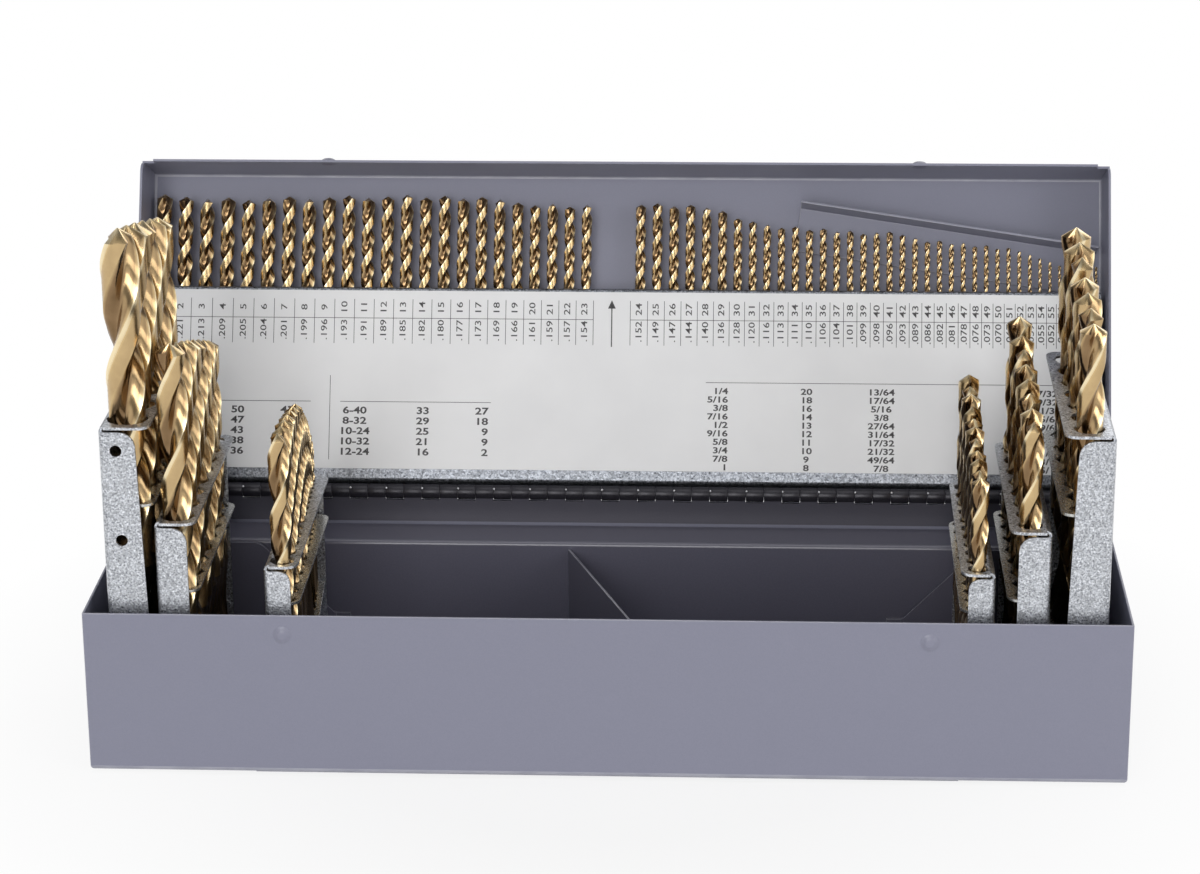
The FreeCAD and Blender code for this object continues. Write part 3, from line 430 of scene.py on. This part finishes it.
# the number rack is the same zinc plating as the other racks, with darker tones: this darkening is painted
# shade
shaded_lid_zinc = sheet_finish("lid_rack_zinc_painted_shade", light=(0.46, 0.48, 0.52), dark=(0.13, 0.14, 0.16),
                        edge_tone=(0.80, 0.82, 0.85), scale=1500.0, bump=0.30, edge_wear_and_highlight=0.5,
                        metallic=0.85, rough=0.26, rougher=0.46)
lay_crystals(shaded_lid_zinc, scale=1300.0, low=0.50, high=1.10)
ZINC_EDGE = 0.00018
RACK_NAMES = [side + "_" + place for side in ("left", "right") for place in ("outer", "middle", "inner")]
for rack in RACK_NAMES:
    for form, plating in (("rack_frame", zinc), ("guide_shelf", shelf_zinc), ("seat_shelf", shelf_zinc)):
        node = rack + "_" + form
        eased_sheet(node, node + "_zinc", rack + "_rack", plating, ZINC_EDGE)
for node in ("number_rack_frame", "number_rack_seat"):
    eased_sheet(node, node + "_zinc", "lid", shaded_lid_zinc, ZINC_EDGE)


# Twist drills: high speed steel with a gold-bronze oxide, two helical flutes and a plain cone point.
# The lands are ground bright along their leading margins, and the flutes between them are darker; the bright
# margins are partly a painted highlight, the dark flutes partly painted shade, and the bright point is a
# painted highlight.
gold = bpy.data.materials.new("gold_bronze_steel")
gold.use_nodes = True
nodes, links = gold.node_tree.nodes, gold.node_tree.links
relief = nodes.new("ShaderNodeAttribute")
relief.attribute_name = "relief"
oxide = nodes.new("ShaderNodeValToRGB")
oxide.color_ramp.elements[0].position = 0.05
oxide.color_ramp.elements[0].color = (0.12, 0.070, 0.030, 1)
oxide.color_ramp.elements[1].position = 0.97
oxide.color_ramp.elements[1].color = (0.95, 0.80, 0.52, 1)
for place, colour in ((0.30, (0.28, 0.180, 0.095, 1)), (0.55, (0.50, 0.355, 0.185, 1)),
                      (0.78, (0.68, 0.50, 0.26, 1))):
    stop = oxide.color_ramp.elements.new(place)
    stop.color = colour
drift_place = nodes.new("ShaderNodeTexCoord")
drift = nodes.new("ShaderNodeTexNoise")
drift.inputs["Scale"].default_value = 160.0
drift.inputs["Detail"].default_value = 3.0
drift_amount = nodes.new("ShaderNodeMapRange")
drift_amount.inputs["To Min"].default_value = -0.16
drift_amount.inputs["To Max"].default_value = 0.16
drifted = nodes.new("ShaderNodeMath")
drifted.operation = "ADD"
ground_lines = nodes.new("ShaderNodeTexNoise")
ground_lines.inputs["Scale"].default_value = 2600.0
ground_bump = nodes.new("ShaderNodeBump")
ground_bump.inputs["Strength"].default_value = 0.08
ground_bump.inputs["Distance"].default_value = 0.0002
satin = nodes.new("ShaderNodeMapRange")
satin.inputs["To Min"].default_value = 0.12
satin.inputs["To Max"].default_value = 0.30
links.new(drift_place.outputs["Object"], drift.inputs["Vector"])
links.new(drift_place.outputs["Object"], ground_lines.inputs["Vector"])
links.new(drift.outputs["Fac"], drift_amount.inputs["Value"])
links.new(relief.outputs["Fac"], drifted.inputs[0])
links.new(drift_amount.outputs[0], drifted.inputs[1])
links.new(drifted.outputs[0], oxide.inputs["Fac"])
links.new(oxide.outputs["Color"], nodes["Principled BSDF"].inputs["Base Color"])
links.new(relief.outputs["Fac"], satin.inputs["Value"])
links.new(satin.outputs[0], nodes["Principled BSDF"].inputs["Roughness"])
links.new(ground_lines.outputs["Fac"], ground_bump.inputs["Height"])
links.new(ground_bump.outputs["Normal"], nodes["Principled BSDF"].inputs["Normal"])
nodes["Principled BSDF"].inputs["Metallic"].default_value = 1.0

INCH = 0.0254
# how far out each corner of half the section is, and how bright, from the leading margin round; the
# brightness is partly ground steel and oxide, partly painted highlight and painted shade
SECTION_BIG = ((1.0, 1.0), (0.960, 0.92), (0.955, 0.66), (0.955, 0.64), (0.955, 0.62), (0.955, 0.60),
               (0.955, 0.62), (0.86, 0.30), (0.68, 0.24), (0.50, 0.22), (0.38, 0.26), (0.32, 0.30),
               (0.33, 0.38), (0.40, 0.46), (0.54, 0.50), (0.76, 0.40))
SECTION_SMALL = ((1.0, 1.0), (0.965, 0.70), (0.96, 0.64), (0.95, 0.60), (0.66, 0.16), (0.38, 0.22),
                 (0.35, 0.40), (0.60, 0.34))
SHANK_LIGHT, POINT_HIGHLIGHT = 0.55, 0.95
# the blank's ends, and the radius that its foot and its tip are drawn in to
BLANK_R, FOOT_R, FOOT_EASE, TIP_SHARE = 0.5, 0.47, 0.02, 0.05


def cut_between(drill, low, high, cuts):
    """Cut the blank's edges that run between these two heights, starting and ending in edit mode."""
    bpy.ops.object.mode_set(mode="OBJECT")
    points = drill.data.vertices
    for edge in drill.data.edges:
        heights = sorted(round(points[k].co.z, 3) for k in edge.vertices)
        edge.select = heights == [low, high]
    bpy.ops.object.mode_set(mode="EDIT")
    bpy.ops.mesh.subdivide(number_cuts=cuts)
    bpy.ops.mesh.select_all(action="DESELECT")


def straight_drill(name, section, cuts):
    """A drill one unit across, not yet twisted.

    Its shank ends at height 1, the flutes run out up to 2, and are full to 3, and the tip is at 4.
    """
    count = 2 * len(section)
    bpy.ops.object.select_all(action="DESELECT")
    bpy.ops.mesh.primitive_circle_add(vertices=count, radius=FOOT_R, fill_type="NGON")
    drill = bpy.context.active_object
    drill.name = name
    bpy.ops.object.mode_set(mode="EDIT")
    bpy.ops.mesh.select_all(action="SELECT")
    bpy.ops.mesh.extrude_region_move(TRANSFORM_OT_translate={"value": (0, 0, FOOT_EASE)})
    bpy.ops.transform.resize(value=(BLANK_R / FOOT_R, BLANK_R / FOOT_R, 1), center_override=(0, 0, FOOT_EASE))
    for step in (1.0 - FOOT_EASE, 1.0, 1.0, 1.0):
        bpy.ops.mesh.extrude_region_move(TRANSFORM_OT_translate={"value": (0, 0, step)})
    bpy.ops.transform.resize(value=(TIP_SHARE, TIP_SHARE, 1), center_override=(0, 0, 4))
    bpy.ops.mesh.select_mode(type="EDGE")
    bpy.ops.mesh.select_all(action="DESELECT")
    cut_between(drill, 2.0, 3.0, cuts)
    cut_between(drill, 1.0, 2.0, cuts=5)
    bpy.ops.object.mode_set(mode="OBJECT")
    bright = drill.data.attributes.new("relief", "FLOAT", "POINT")
    shine = [SHANK_LIGHT] * len(drill.data.vertices)
    step = 2 * math.pi / count
    for vertex in drill.data.vertices:
        if vertex.co.z <= 1.001:
            continue
        corner = round(math.atan2(vertex.co.y, vertex.co.x) / step) % len(section)
        out, light = section[corner]
        depth = min(1.0, vertex.co.z - 1.0)
        if vertex.co.z < 3.999:
            keep = 1 - depth * (1 - out)
            vertex.co.x *= keep
            vertex.co.y *= keep
        shine[vertex.index] = SHANK_LIGHT + depth * (light - SHANK_LIGHT)
        # the point is painted bright: a painted highlight
        if vertex.co.z > 3.999:
            shine[vertex.index] = POINT_HIGHLIGHT
    bright.data.foreach_set("value", shine)
    drill.data.materials.append(gold)
    return drill


big_blank = straight_drill("big_drill_blank", SECTION_BIG, cuts=48)
small_blank = straight_drill("small_drill_blank", SECTION_SMALL, cuts=36)


def drill_length(size):
    """A jobber drill's length in metres, from its size in inches: small and large ones on two lines."""
    return round(min(1.1 + 13 * size, 2 + 8 * size) * 16) / 16 * INCH


def flute_length(size):
    """How much of a drill of this size in inches is fluted, in metres."""
    return min(0.45 + 9.3 * size, 1.15 + 6.6 * size) * INCH


GROUND_UNDER = 0.985            # a drill is ground a little under its hole's size
POINT_HIGH, RUNOUT_HIGH = 0.30, 0.9     # in drill diameters


def twist_drill(blank, size, lead, turn, place):
    """A copy of the straight drill, stretched to one size, twisted, and stood in its place."""
    across, length, fluted = size * INCH * GROUND_UNDER, drill_length(size), flute_length(size)
    point = across * POINT_HIGH
    drill = bpy.data.objects.new("twist_drill", blank.data.copy())
    scene.collection.objects.link(drill)
    runout = across * RUNOUT_HIGH
    levels = (0.0, length - fluted, length - fluted + runout, length - point, length)
    for vertex in drill.data.vertices:
        part = min(3, int(vertex.co.z + 1e-6))
        share = vertex.co.z - part
        vertex.co.z = levels[part] + share * (levels[part + 1] - levels[part])
        vertex.co.x *= across
        vertex.co.y *= across
    bpy.ops.object.select_all(action="DESELECT")
    drill.select_set(True)
    bpy.context.view_layer.objects.active = drill
    twist = drill.modifiers.new("helix", "SIMPLE_DEFORM")
    twist.deform_method = "TWIST"
    twist.deform_axis = "Z"
    twist.angle = 2 * math.pi * length / (lead * across)
    bpy.ops.object.modifier_apply(modifier=twist.name)
    bpy.ops.object.shade_smooth_by_angle(angle=math.radians(38))
    drill.matrix_world = place @ Matrix.Rotation(turn, 4, "Z")
    bpy.ops.object.transform_apply(location=True, rotation=True, scale=True)
    return drill


def joined(parts, name):
    """All the parts as one object, under this name."""
    bpy.ops.object.select_all(action="DESELECT")
    for part in parts:
        part.select_set(True)
    bpy.context.view_layer.objects.active = parts[0]
    bpy.ops.object.join()
    whole = bpy.context.active_object
    whole.name = name
    return whole


SIXTY_FOURTHS = [n / 64.0 for n in range(32, 3, -1)]
LETTERS = [0.234, 0.238, 0.242, 0.246, 0.250, 0.257, 0.261, 0.266, 0.272, 0.277, 0.281, 0.290, 0.295, 0.302,
           0.316, 0.323, 0.332, 0.339, 0.348, 0.358, 0.368, 0.377, 0.386, 0.397, 0.404, 0.413]
# each rack's drills, the X of their line, and the heights of the seat at the rack's front and rear
RACK_ROWS = {
    "left_outer": (SIXTY_FOURTHS[0:6], -0.1538, 0.0290, 0.0290),
    "left_middle": (SIXTY_FOURTHS[6:14], -0.13885, 0.0105, 0.0105),
    "left_inner": (SIXTY_FOURTHS[14:29], -0.1051, 0.0035, 0.0335),
    "right_outer": (LETTERS[19:26], 0.1538, 0.0290, 0.0290),
    "right_middle": (LETTERS[11:19], 0.13615, 0.0105, 0.0105),
    "right_inner": (LETTERS[0:11], 0.1198, 0.0035, 0.0035),
}
RACK_FRONT_Y, RACK_DEEP, RACK_SHEET = -0.0523, 0.088, 0.0009
SEAT_GAP = 0.00002              # a drill's foot to its seat
RACK_LEAD = 5.9                 # drill diameters in one turn of the flutes
FIRST_TURN, TURN_STEP = 0.9, 2.1        # each drill stands at its own turn, in radians
SMALL_DRILL = 0.12              # inches, up to which the plainer blank is enough
for rack, (sizes, line_x, seat_front, seat_rear) in RACK_ROWS.items():
    room = RACK_DEEP - 2 * RACK_SHEET
    gap = (room - sum(sizes) * INCH) / (len(sizes) + 1)
    y = RACK_FRONT_Y + RACK_SHEET + gap
    drills = []
    for k, size in enumerate(sizes):
        rear_edge = y + size * INCH
        seat = seat_front + (seat_rear - seat_front) * (rear_edge - RACK_FRONT_Y) / RACK_DEEP
        stand = Matrix.Translation((line_x, y + size * INCH / 2, seat + SEAT_GAP))
        blank = big_blank if size > SMALL_DRILL else small_blank
        drills.append(twist_drill(blank, size, RACK_LEAD, FIRST_TURN + k * TURN_STEP, stand))
        y = rear_edge + gap
    row = joined(drills, rack + "_twist_drills")
    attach(row, rack + "_rack")
    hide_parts(rack + "_drills")

# The number drills: the same gold-bronze steel, stood in the lid's rack on a sloping seat, largest at
# the left, with a wider space at the middle hole. They are set out shut and then turned with the lid.
NUMBER_SIZES = [0.228, 0.221, 0.213, 0.209, 0.2055, 0.204, 0.201, 0.199, 0.196, 0.1935, 0.191, 0.189,
                0.185, 0.182, 0.180, 0.177, 0.173, 0.1695, 0.166, 0.161, 0.159, 0.157, 0.154, 0.152,
                0.1495, 0.147, 0.144, 0.1405, 0.136, 0.1285, 0.120, 0.116, 0.113, 0.111, 0.110, 0.1065,
                0.104, 0.1015, 0.0995, 0.098, 0.096, 0.0935, 0.089, 0.086, 0.082, 0.081, 0.0785, 0.076,
                0.073, 0.070, 0.067, 0.0635, 0.0595, 0.055, 0.052, 0.0465, 0.043, 0.042, 0.041, 0.040]
MIDDLE_HOLE, BESIDE_IT, NUMBER_GAP = -0.00355, 0.00965, 0.00215
NUMBER_LEAD = 4.8
NUMBER_FIRST_TURN, NUMBER_TURN_STEP = 0.4, 1.7
SEAT_NEAR, SEAT_HALF, ROW_DEEP = 0.0095, 0.167, 0.0066
number_x = [0.0] * 60
number_x[22] = MIDDLE_HOLE - BESIDE_IT
for k in range(21, -1, -1):
    number_x[k] = number_x[k + 1] - (NUMBER_SIZES[k] + NUMBER_SIZES[k + 1]) / 2 * INCH - NUMBER_GAP
number_x[23] = MIDDLE_HOLE + BESIDE_IT
for k in range(24, 60):
    number_x[k] = number_x[k - 1] + (NUMBER_SIZES[k] + NUMBER_SIZES[k - 1]) / 2 * INCH + NUMBER_GAP
SEAT_SLOPE = 0.032 / (2 * SEAT_HALF)
standing = Matrix.Rotation(math.pi / 2, 4, "X")
for first, last in ((1, 20), (21, 40), (41, 60)):
    drills = []
    for k in range(first - 1, last):
        under = SEAT_NEAR + SEAT_SLOPE * (number_x[k] + SEAT_HALF)
        seat = under + SEAT_SLOPE * NUMBER_SIZES[k] * INCH / 2 + SEAT_GAP
        stand = lid_open @ Matrix.Translation((number_x[k], -seat, ROW_DEEP)) @ standing
        turn = NUMBER_FIRST_TURN + k * NUMBER_TURN_STEP
        drills.append(twist_drill(small_blank, NUMBER_SIZES[k], NUMBER_LEAD, turn, stand))
    row = joined(drills, "number_twist_drills_%d_to_%d" % (first, last))
    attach(row, "lid")
    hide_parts("number_drills_%d_to_%d" % (first, last))
for blank in (big_blank, small_blank):
    bpy.data.objects.remove(blank)

# The size plate on the number rack: thin white plastic, printed with each drill's number and its
# diameter in inches under the drill itself, an arrow at the spare hole, and columns of thread sizes.
plate_white = bpy.data.materials.new("size_plate_white")
plate_white.use_nodes = True
nodes, links = plate_white.node_tree.nodes, plate_white.node_tree.links
handled = nodes.new("ShaderNodeGroup")
handled.node_tree = mottle
handled.inputs["Light Tone"].default_value = (0.785, 0.785, 0.790, 1)
handled.inputs["Dark Tone"].default_value = (0.745, 0.745, 0.752, 1)
handled.inputs["Scale"].default_value = 38.0
handled.inputs["Bump"].default_value = 0.03
links.new(handled.outputs["Tone"], nodes["Principled BSDF"].inputs["Base Color"])
links.new(handled.outputs["Normal"], nodes["Principled BSDF"].inputs["Normal"])
nodes["Principled BSDF"].inputs["Roughness"].default_value = 0.38
PLATE_EDGE = 0.00006
eased_sheet("number_rack_label", "size_plate", "lid", plate_white, PLATE_EDGE)

ink = bpy.data.materials.new("print_ink")
ink.use_nodes = True
nodes, links = ink.node_tree.nodes, ink.node_tree.links
faded = nodes.new("ShaderNodeGroup")
faded.node_tree = mottle
faded.inputs["Light Tone"].default_value = (0.075, 0.070, 0.072, 1)
faded.inputs["Dark Tone"].default_value = (0.030, 0.028, 0.030, 1)
faded.inputs["Scale"].default_value = 700.0
links.new(faded.outputs["Tone"], nodes["Principled BSDF"].inputs["Base Color"])
nodes["Principled BSDF"].inputs["Roughness"].default_value = 0.5

PRINT_OVER = 0.00027            # hinge axis to the print, just over the plate's face
PRINT_FACE = lid_open @ Matrix.Translation((0, 0, -PRINT_OVER)) @ Matrix.Rotation(math.pi, 4, "X")
printed = []


def print_text(words, x, up, height, turned, align, wide, bold):
    """Plain figures on the plate, up being the distance from the hinge axis."""
    bpy.ops.object.select_all(action="DESELECT")
    bpy.ops.object.text_add()
    text = bpy.context.active_object
    text.data.body = words
    text.data.size = height
    text.data.align_x = align
    text.data.align_y = "CENTER"
    text.data.resolution_u = 3
    text.data.offset = height * bold
    text.matrix_world = (PRINT_FACE @ Matrix.Translation((x, up, 0)) @ Matrix.Rotation(turned, 4, "Z")
                         @ Matrix.Diagonal((wide, 1, 1, 1)))
    bpy.ops.object.convert(target="MESH")
    bpy.ops.object.transform_apply(location=True, rotation=True, scale=True)
    printed.append(text)


def print_bar(x0, x1, up0, up1):
    """A plain printed rule or tick between these edges."""
    bpy.ops.object.select_all(action="DESELECT")
    bpy.ops.mesh.primitive_plane_add(size=1.0)
    bar = bpy.context.active_object
    bar.matrix_world = (PRINT_FACE @ Matrix.Translation(((x0 + x1) / 2, (up0 + up1) / 2, 0))
                        @ Matrix.Diagonal((x1 - x0, up1 - up0, 1, 1)))
    bpy.ops.object.transform_apply(location=True, rotation=True, scale=True)
    printed.append(bar)


LINE = 0.00020
SCALE_FIGURE, SCALE_BOLD = 0.0031, 0.007
NUMBERS_UP, DIAMETERS_UP, RULE_UP = 0.0654, 0.0574, 0.0616
TICK_FOOT, TICK_TOP, END_TICK = 0.0525, 0.0684, 0.0031
for k in range(60):
    x = number_x[k]
    diameter = ("%.4f" % NUMBER_SIZES[k])[1:5]
    print_text(str(k + 1), x, NUMBERS_UP, SCALE_FIGURE, math.pi / 2, "CENTER", wide=1.46, bold=SCALE_BOLD)
    print_text(diameter, x, DIAMETERS_UP, SCALE_FIGURE, math.pi / 2, "CENTER", wide=1.42, bold=SCALE_BOLD)
    left = x - (number_x[k] - number_x[k - 1]) / 2 if k not in (0, 23) else x - END_TICK
    print_bar(left - LINE / 2, left + LINE / 2, TICK_FOOT, TICK_TOP)
    if k in (22, 59):
        print_bar(x + END_TICK - LINE / 2, x + END_TICK + LINE / 2, TICK_FOOT, TICK_TOP)
print_bar(number_x[0] - 0.0030, number_x[22] + END_TICK, RULE_UP - LINE / 2, RULE_UP + LINE / 2)
print_bar(number_x[23] - END_TICK, 0.1668, RULE_UP - LINE / 2, RULE_UP + LINE / 2)
# the arrow at the middle hole
ARROW_FOOT, ARROW_HEAD, ARROW_END, ARROW_R = 0.0519, 0.0666, 0.0668, 0.0016
print_bar(MIDDLE_HOLE - LINE, MIDDLE_HOLE + LINE, ARROW_FOOT, ARROW_END)
bpy.ops.object.select_all(action="DESELECT")
bpy.ops.mesh.primitive_circle_add(vertices=3, radius=ARROW_R, fill_type="NGON")
arrow = bpy.context.active_object
arrow.matrix_world = (PRINT_FACE @ Matrix.Translation((MIDDLE_HOLE, ARROW_HEAD, 0))
                      @ Matrix.Diagonal((1.0, 1.25, 1, 1)))
bpy.ops.object.transform_apply(location=True, rotation=True, scale=True)
printed.append(arrow)
# screw sizes, with the tapping and clearance drills that go with them
TABLE_WIDE, TABLE_BOLD = 1.38, 0.026
SCREW_ROW_UP, SCREW_ROW_PITCH, SCREW_FIGURE = 0.0285, 0.00368, 0.0034
SCREW_RULE_UP, SCREW_RULE_X = 0.0316, -0.1032
for x, align, words in ((-0.1360, "CENTER", ("50", "47", "43", "38", "36")),
                        (-0.1160, "RIGHT", ("43", "37", "32", "30", "27")),
                        (-0.0943, "CENTER", ("6-40", "8-32", "10-24", "10-32", "12-24")),
                        (-0.0677, "RIGHT", ("33", "29", "25", "21", "16")),
                        (-0.0468, "RIGHT", ("27", "18", "9", "9", "2"))):
    for row, word in enumerate(words):
        up = SCREW_ROW_UP - row * SCREW_ROW_PITCH
        print_text(word, x, up, SCREW_FIGURE, 0.0, align, TABLE_WIDE, TABLE_BOLD)
print_bar(SCREW_RULE_X - LINE / 2, SCREW_RULE_X + LINE / 2, 0.0110, 0.0410)
print_bar(-0.1420, -0.1100, SCREW_RULE_UP, SCREW_RULE_UP + LINE)
print_bar(-0.0995, -0.0460, SCREW_RULE_UP, SCREW_RULE_UP + LINE)
# tap sizes, coarse and fine threads, and the tapping drill of each
TAP_ROW_UP, TAP_ROW_PITCH, TAP_FIGURE, TAP_RULE_UP = 0.0364, 0.00300, 0.0030, 0.0394
for x, align, words in ((0.0379, "RIGHT", ("1/4", "5/16", "3/8", "7/16", "1/2",
                                           "9/16", "5/8", "3/4", "7/8", "1")),
                        (0.0655, "CENTER", ("20", "18", "16", "14", "13", "12", "11", "10", "9", "8")),
                        (0.0918, "CENTER", ("13/64", "17/64", "5/16", "3/8", "27/64",
                                            "31/64", "17/32", "21/32", "49/64", "7/8")),
                        (0.1215, "CENTER", ("28", "24", "24", "20", "20", "18", "18", "16", "14", "14")),
                        (0.1500, "CENTER", ("7/32", "9/32", "11/32", "25/64", "29/64",
                                            "33/64", "37/64", "11/16", "13/16", "15/16"))):
    for row, word in enumerate(words):
        up = TAP_ROW_UP - row * TAP_ROW_PITCH
        print_text(word, x, up, TAP_FIGURE, 0.0, align, TABLE_WIDE, TABLE_BOLD)
print_bar(0.0300, 0.1600, TAP_RULE_UP, TAP_RULE_UP + LINE)
figures = joined(printed, "size_plate_figures")
figures.data.materials.clear()
figures.data.materials.append(ink)
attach(figures, "lid")

# The piano hinge: two rolled leaves of thin steel on one pin, spot welded inside the rear walls. Its
# barrels and pin are coloured near black, its leaves dark grey as painted shade, and a small bright nib at
# the corner of each of the lid's knuckles is a painted glint.
# the barrels and the pin are coloured near black
rolled = sheet_finish("near_black_hinge_steel", light=(0.030, 0.028, 0.036), dark=(0.016, 0.015, 0.020),
                      edge_tone=(0.30, 0.30, 0.33), scale=2200.0, bump=0.08, edge_wear_and_highlight=0.5,
                      metallic=0.35, rough=0.30, rougher=0.42)
# the leaves' dark grey is painted shade, the same tone as the shaded ledge below them
shaded_leaf_steel = sheet_finish("hinge_leaf_painted_shade", light=(0.075, 0.072, 0.092), dark=(0.066, 0.064, 0.082),
                          edge_tone=(0.30, 0.30, 0.33), scale=2200.0, bump=0.06, edge_wear_and_highlight=0.4,
                          metallic=0.25, rough=0.34, rougher=0.42)
glint_steel = sheet_finish("painted_glint_steel", light=(0.85, 0.85, 0.87), dark=(0.70, 0.70, 0.72),
                            edge_tone=(0.90, 0.90, 0.90), scale=2200.0, bump=0.05, edge_wear_and_highlight=0.0,
                            metallic=0.8, rough=0.25, rougher=0.35)
LEAF_EDGE, PIN_EDGE = 0.00015, 0.00008
for node, body in (("hinge_case_leaf", "case"), ("hinge_lid_leaf", "lid")):
    eased_sheet(node, node + "_rolled", body, shaded_leaf_steel, LEAF_EDGE)
eased_sheet("hinge_pin", "hinge_pin_wire", "case", rolled, PIN_EDGE)
KNUCKLES, KNUCKLE_LONG, KNUCKLE_R, FIRST_X = 52, 0.00635, 0.00256, -0.1651
KNUCKLE_GAP, END_INSET, END_EASE = 0.00016, 0.00022, 0.00020
GLINT_NIB_R, GLINT_NIB_IN, GLINT_NIB_OUT = 0.00042, 0.0003, 0.00182


def rolled_knuckle(name, left_x):
    """One barrel of the hinge, with its two ends eased."""
    bpy.ops.object.select_all(action="DESELECT")
    bpy.ops.mesh.primitive_cylinder_add(vertices=24, radius=KNUCKLE_R, depth=KNUCKLE_LONG - KNUCKLE_GAP,
                                        location=(left_x + KNUCKLE_LONG / 2, HINGE_Y, HINGE_Z),
                                        rotation=(0, math.pi / 2, 0))
    barrel = bpy.context.active_object
    barrel.name = name
    bpy.ops.object.transform_apply(location=True, rotation=True, scale=True)
    bpy.ops.object.mode_set(mode="EDIT")
    bpy.ops.mesh.select_all(action="DESELECT")
    bpy.ops.object.mode_set(mode="OBJECT")
    for face in barrel.data.polygons:
        face.select = abs(face.normal.x) > 0.9
    bpy.ops.object.mode_set(mode="EDIT")
    bpy.ops.mesh.select_mode(type="FACE")
    bpy.ops.mesh.inset(thickness=END_INSET, depth=0.0)
    bpy.ops.mesh.select_all(action="SELECT")
    bpy.ops.mesh.normals_make_consistent(inside=False)
    bpy.ops.object.mode_set(mode="OBJECT")
    bevel = barrel.modifiers.new("eased_ends", "BEVEL")
    bevel.width = END_EASE
    bevel.segments = 2
    bevel.angle_limit = math.radians(60)
    bpy.ops.object.modifier_apply(modifier=bevel.name)
    bpy.ops.object.shade_smooth_by_angle(angle=math.radians(40))
    barrel.data.materials.append(rolled)
    return barrel


barrels = {"case": [], "lid": []}
first_barrel = rolled_knuckle("hinge_barrel", FIRST_X)
for k in range(KNUCKLES):
    barrel = bpy.data.objects.new("hinge_barrel_%d" % k, first_barrel.data.copy())
    scene.collection.objects.link(barrel)
    barrel.data.transform(Matrix.Translation((k * KNUCKLE_LONG, 0, 0)))
    barrels["case" if k % 2 == 0 else "lid"].append(barrel)
bpy.data.objects.remove(first_barrel)
# each lid barrel has a small bright nib at its corner, which is a painted glint
for k in range(1, KNUCKLES, 2):
    bpy.ops.object.select_all(action="DESELECT")
    corner = (FIRST_X + k * KNUCKLE_LONG + GLINT_NIB_IN, HINGE_Y - GLINT_NIB_OUT, HINGE_Z + GLINT_NIB_OUT)
    bpy.ops.mesh.primitive_ico_sphere_add(subdivisions=2, radius=GLINT_NIB_R, location=corner)
    glint_nib = bpy.context.active_object
    glint_nib.name = "painted_glint_nib"
    bpy.ops.object.transform_apply(location=True, rotation=True, scale=True)
    bpy.ops.object.shade_smooth()
    glint_nib.data.materials.append(glint_steel)
    barrels["lid"].append(glint_nib)
for body, parts in barrels.items():
    row = joined(parts, body + "_hinge_barrels")
    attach(row, body)

# The pivot rivets: bright zinc-plated steel, one at each end of a rack, through its end plate and the
# bracket beside it, with a flat head inside the rack and a flat tail outside the bracket.
RIVET_EDGE = 0.00020
for rack in RACK_NAMES:
    node = rack + "_pivot_rivets"
    eased_sheet(node, node + "_zinc", rack + "_rack", zinc, RIVET_EDGE)
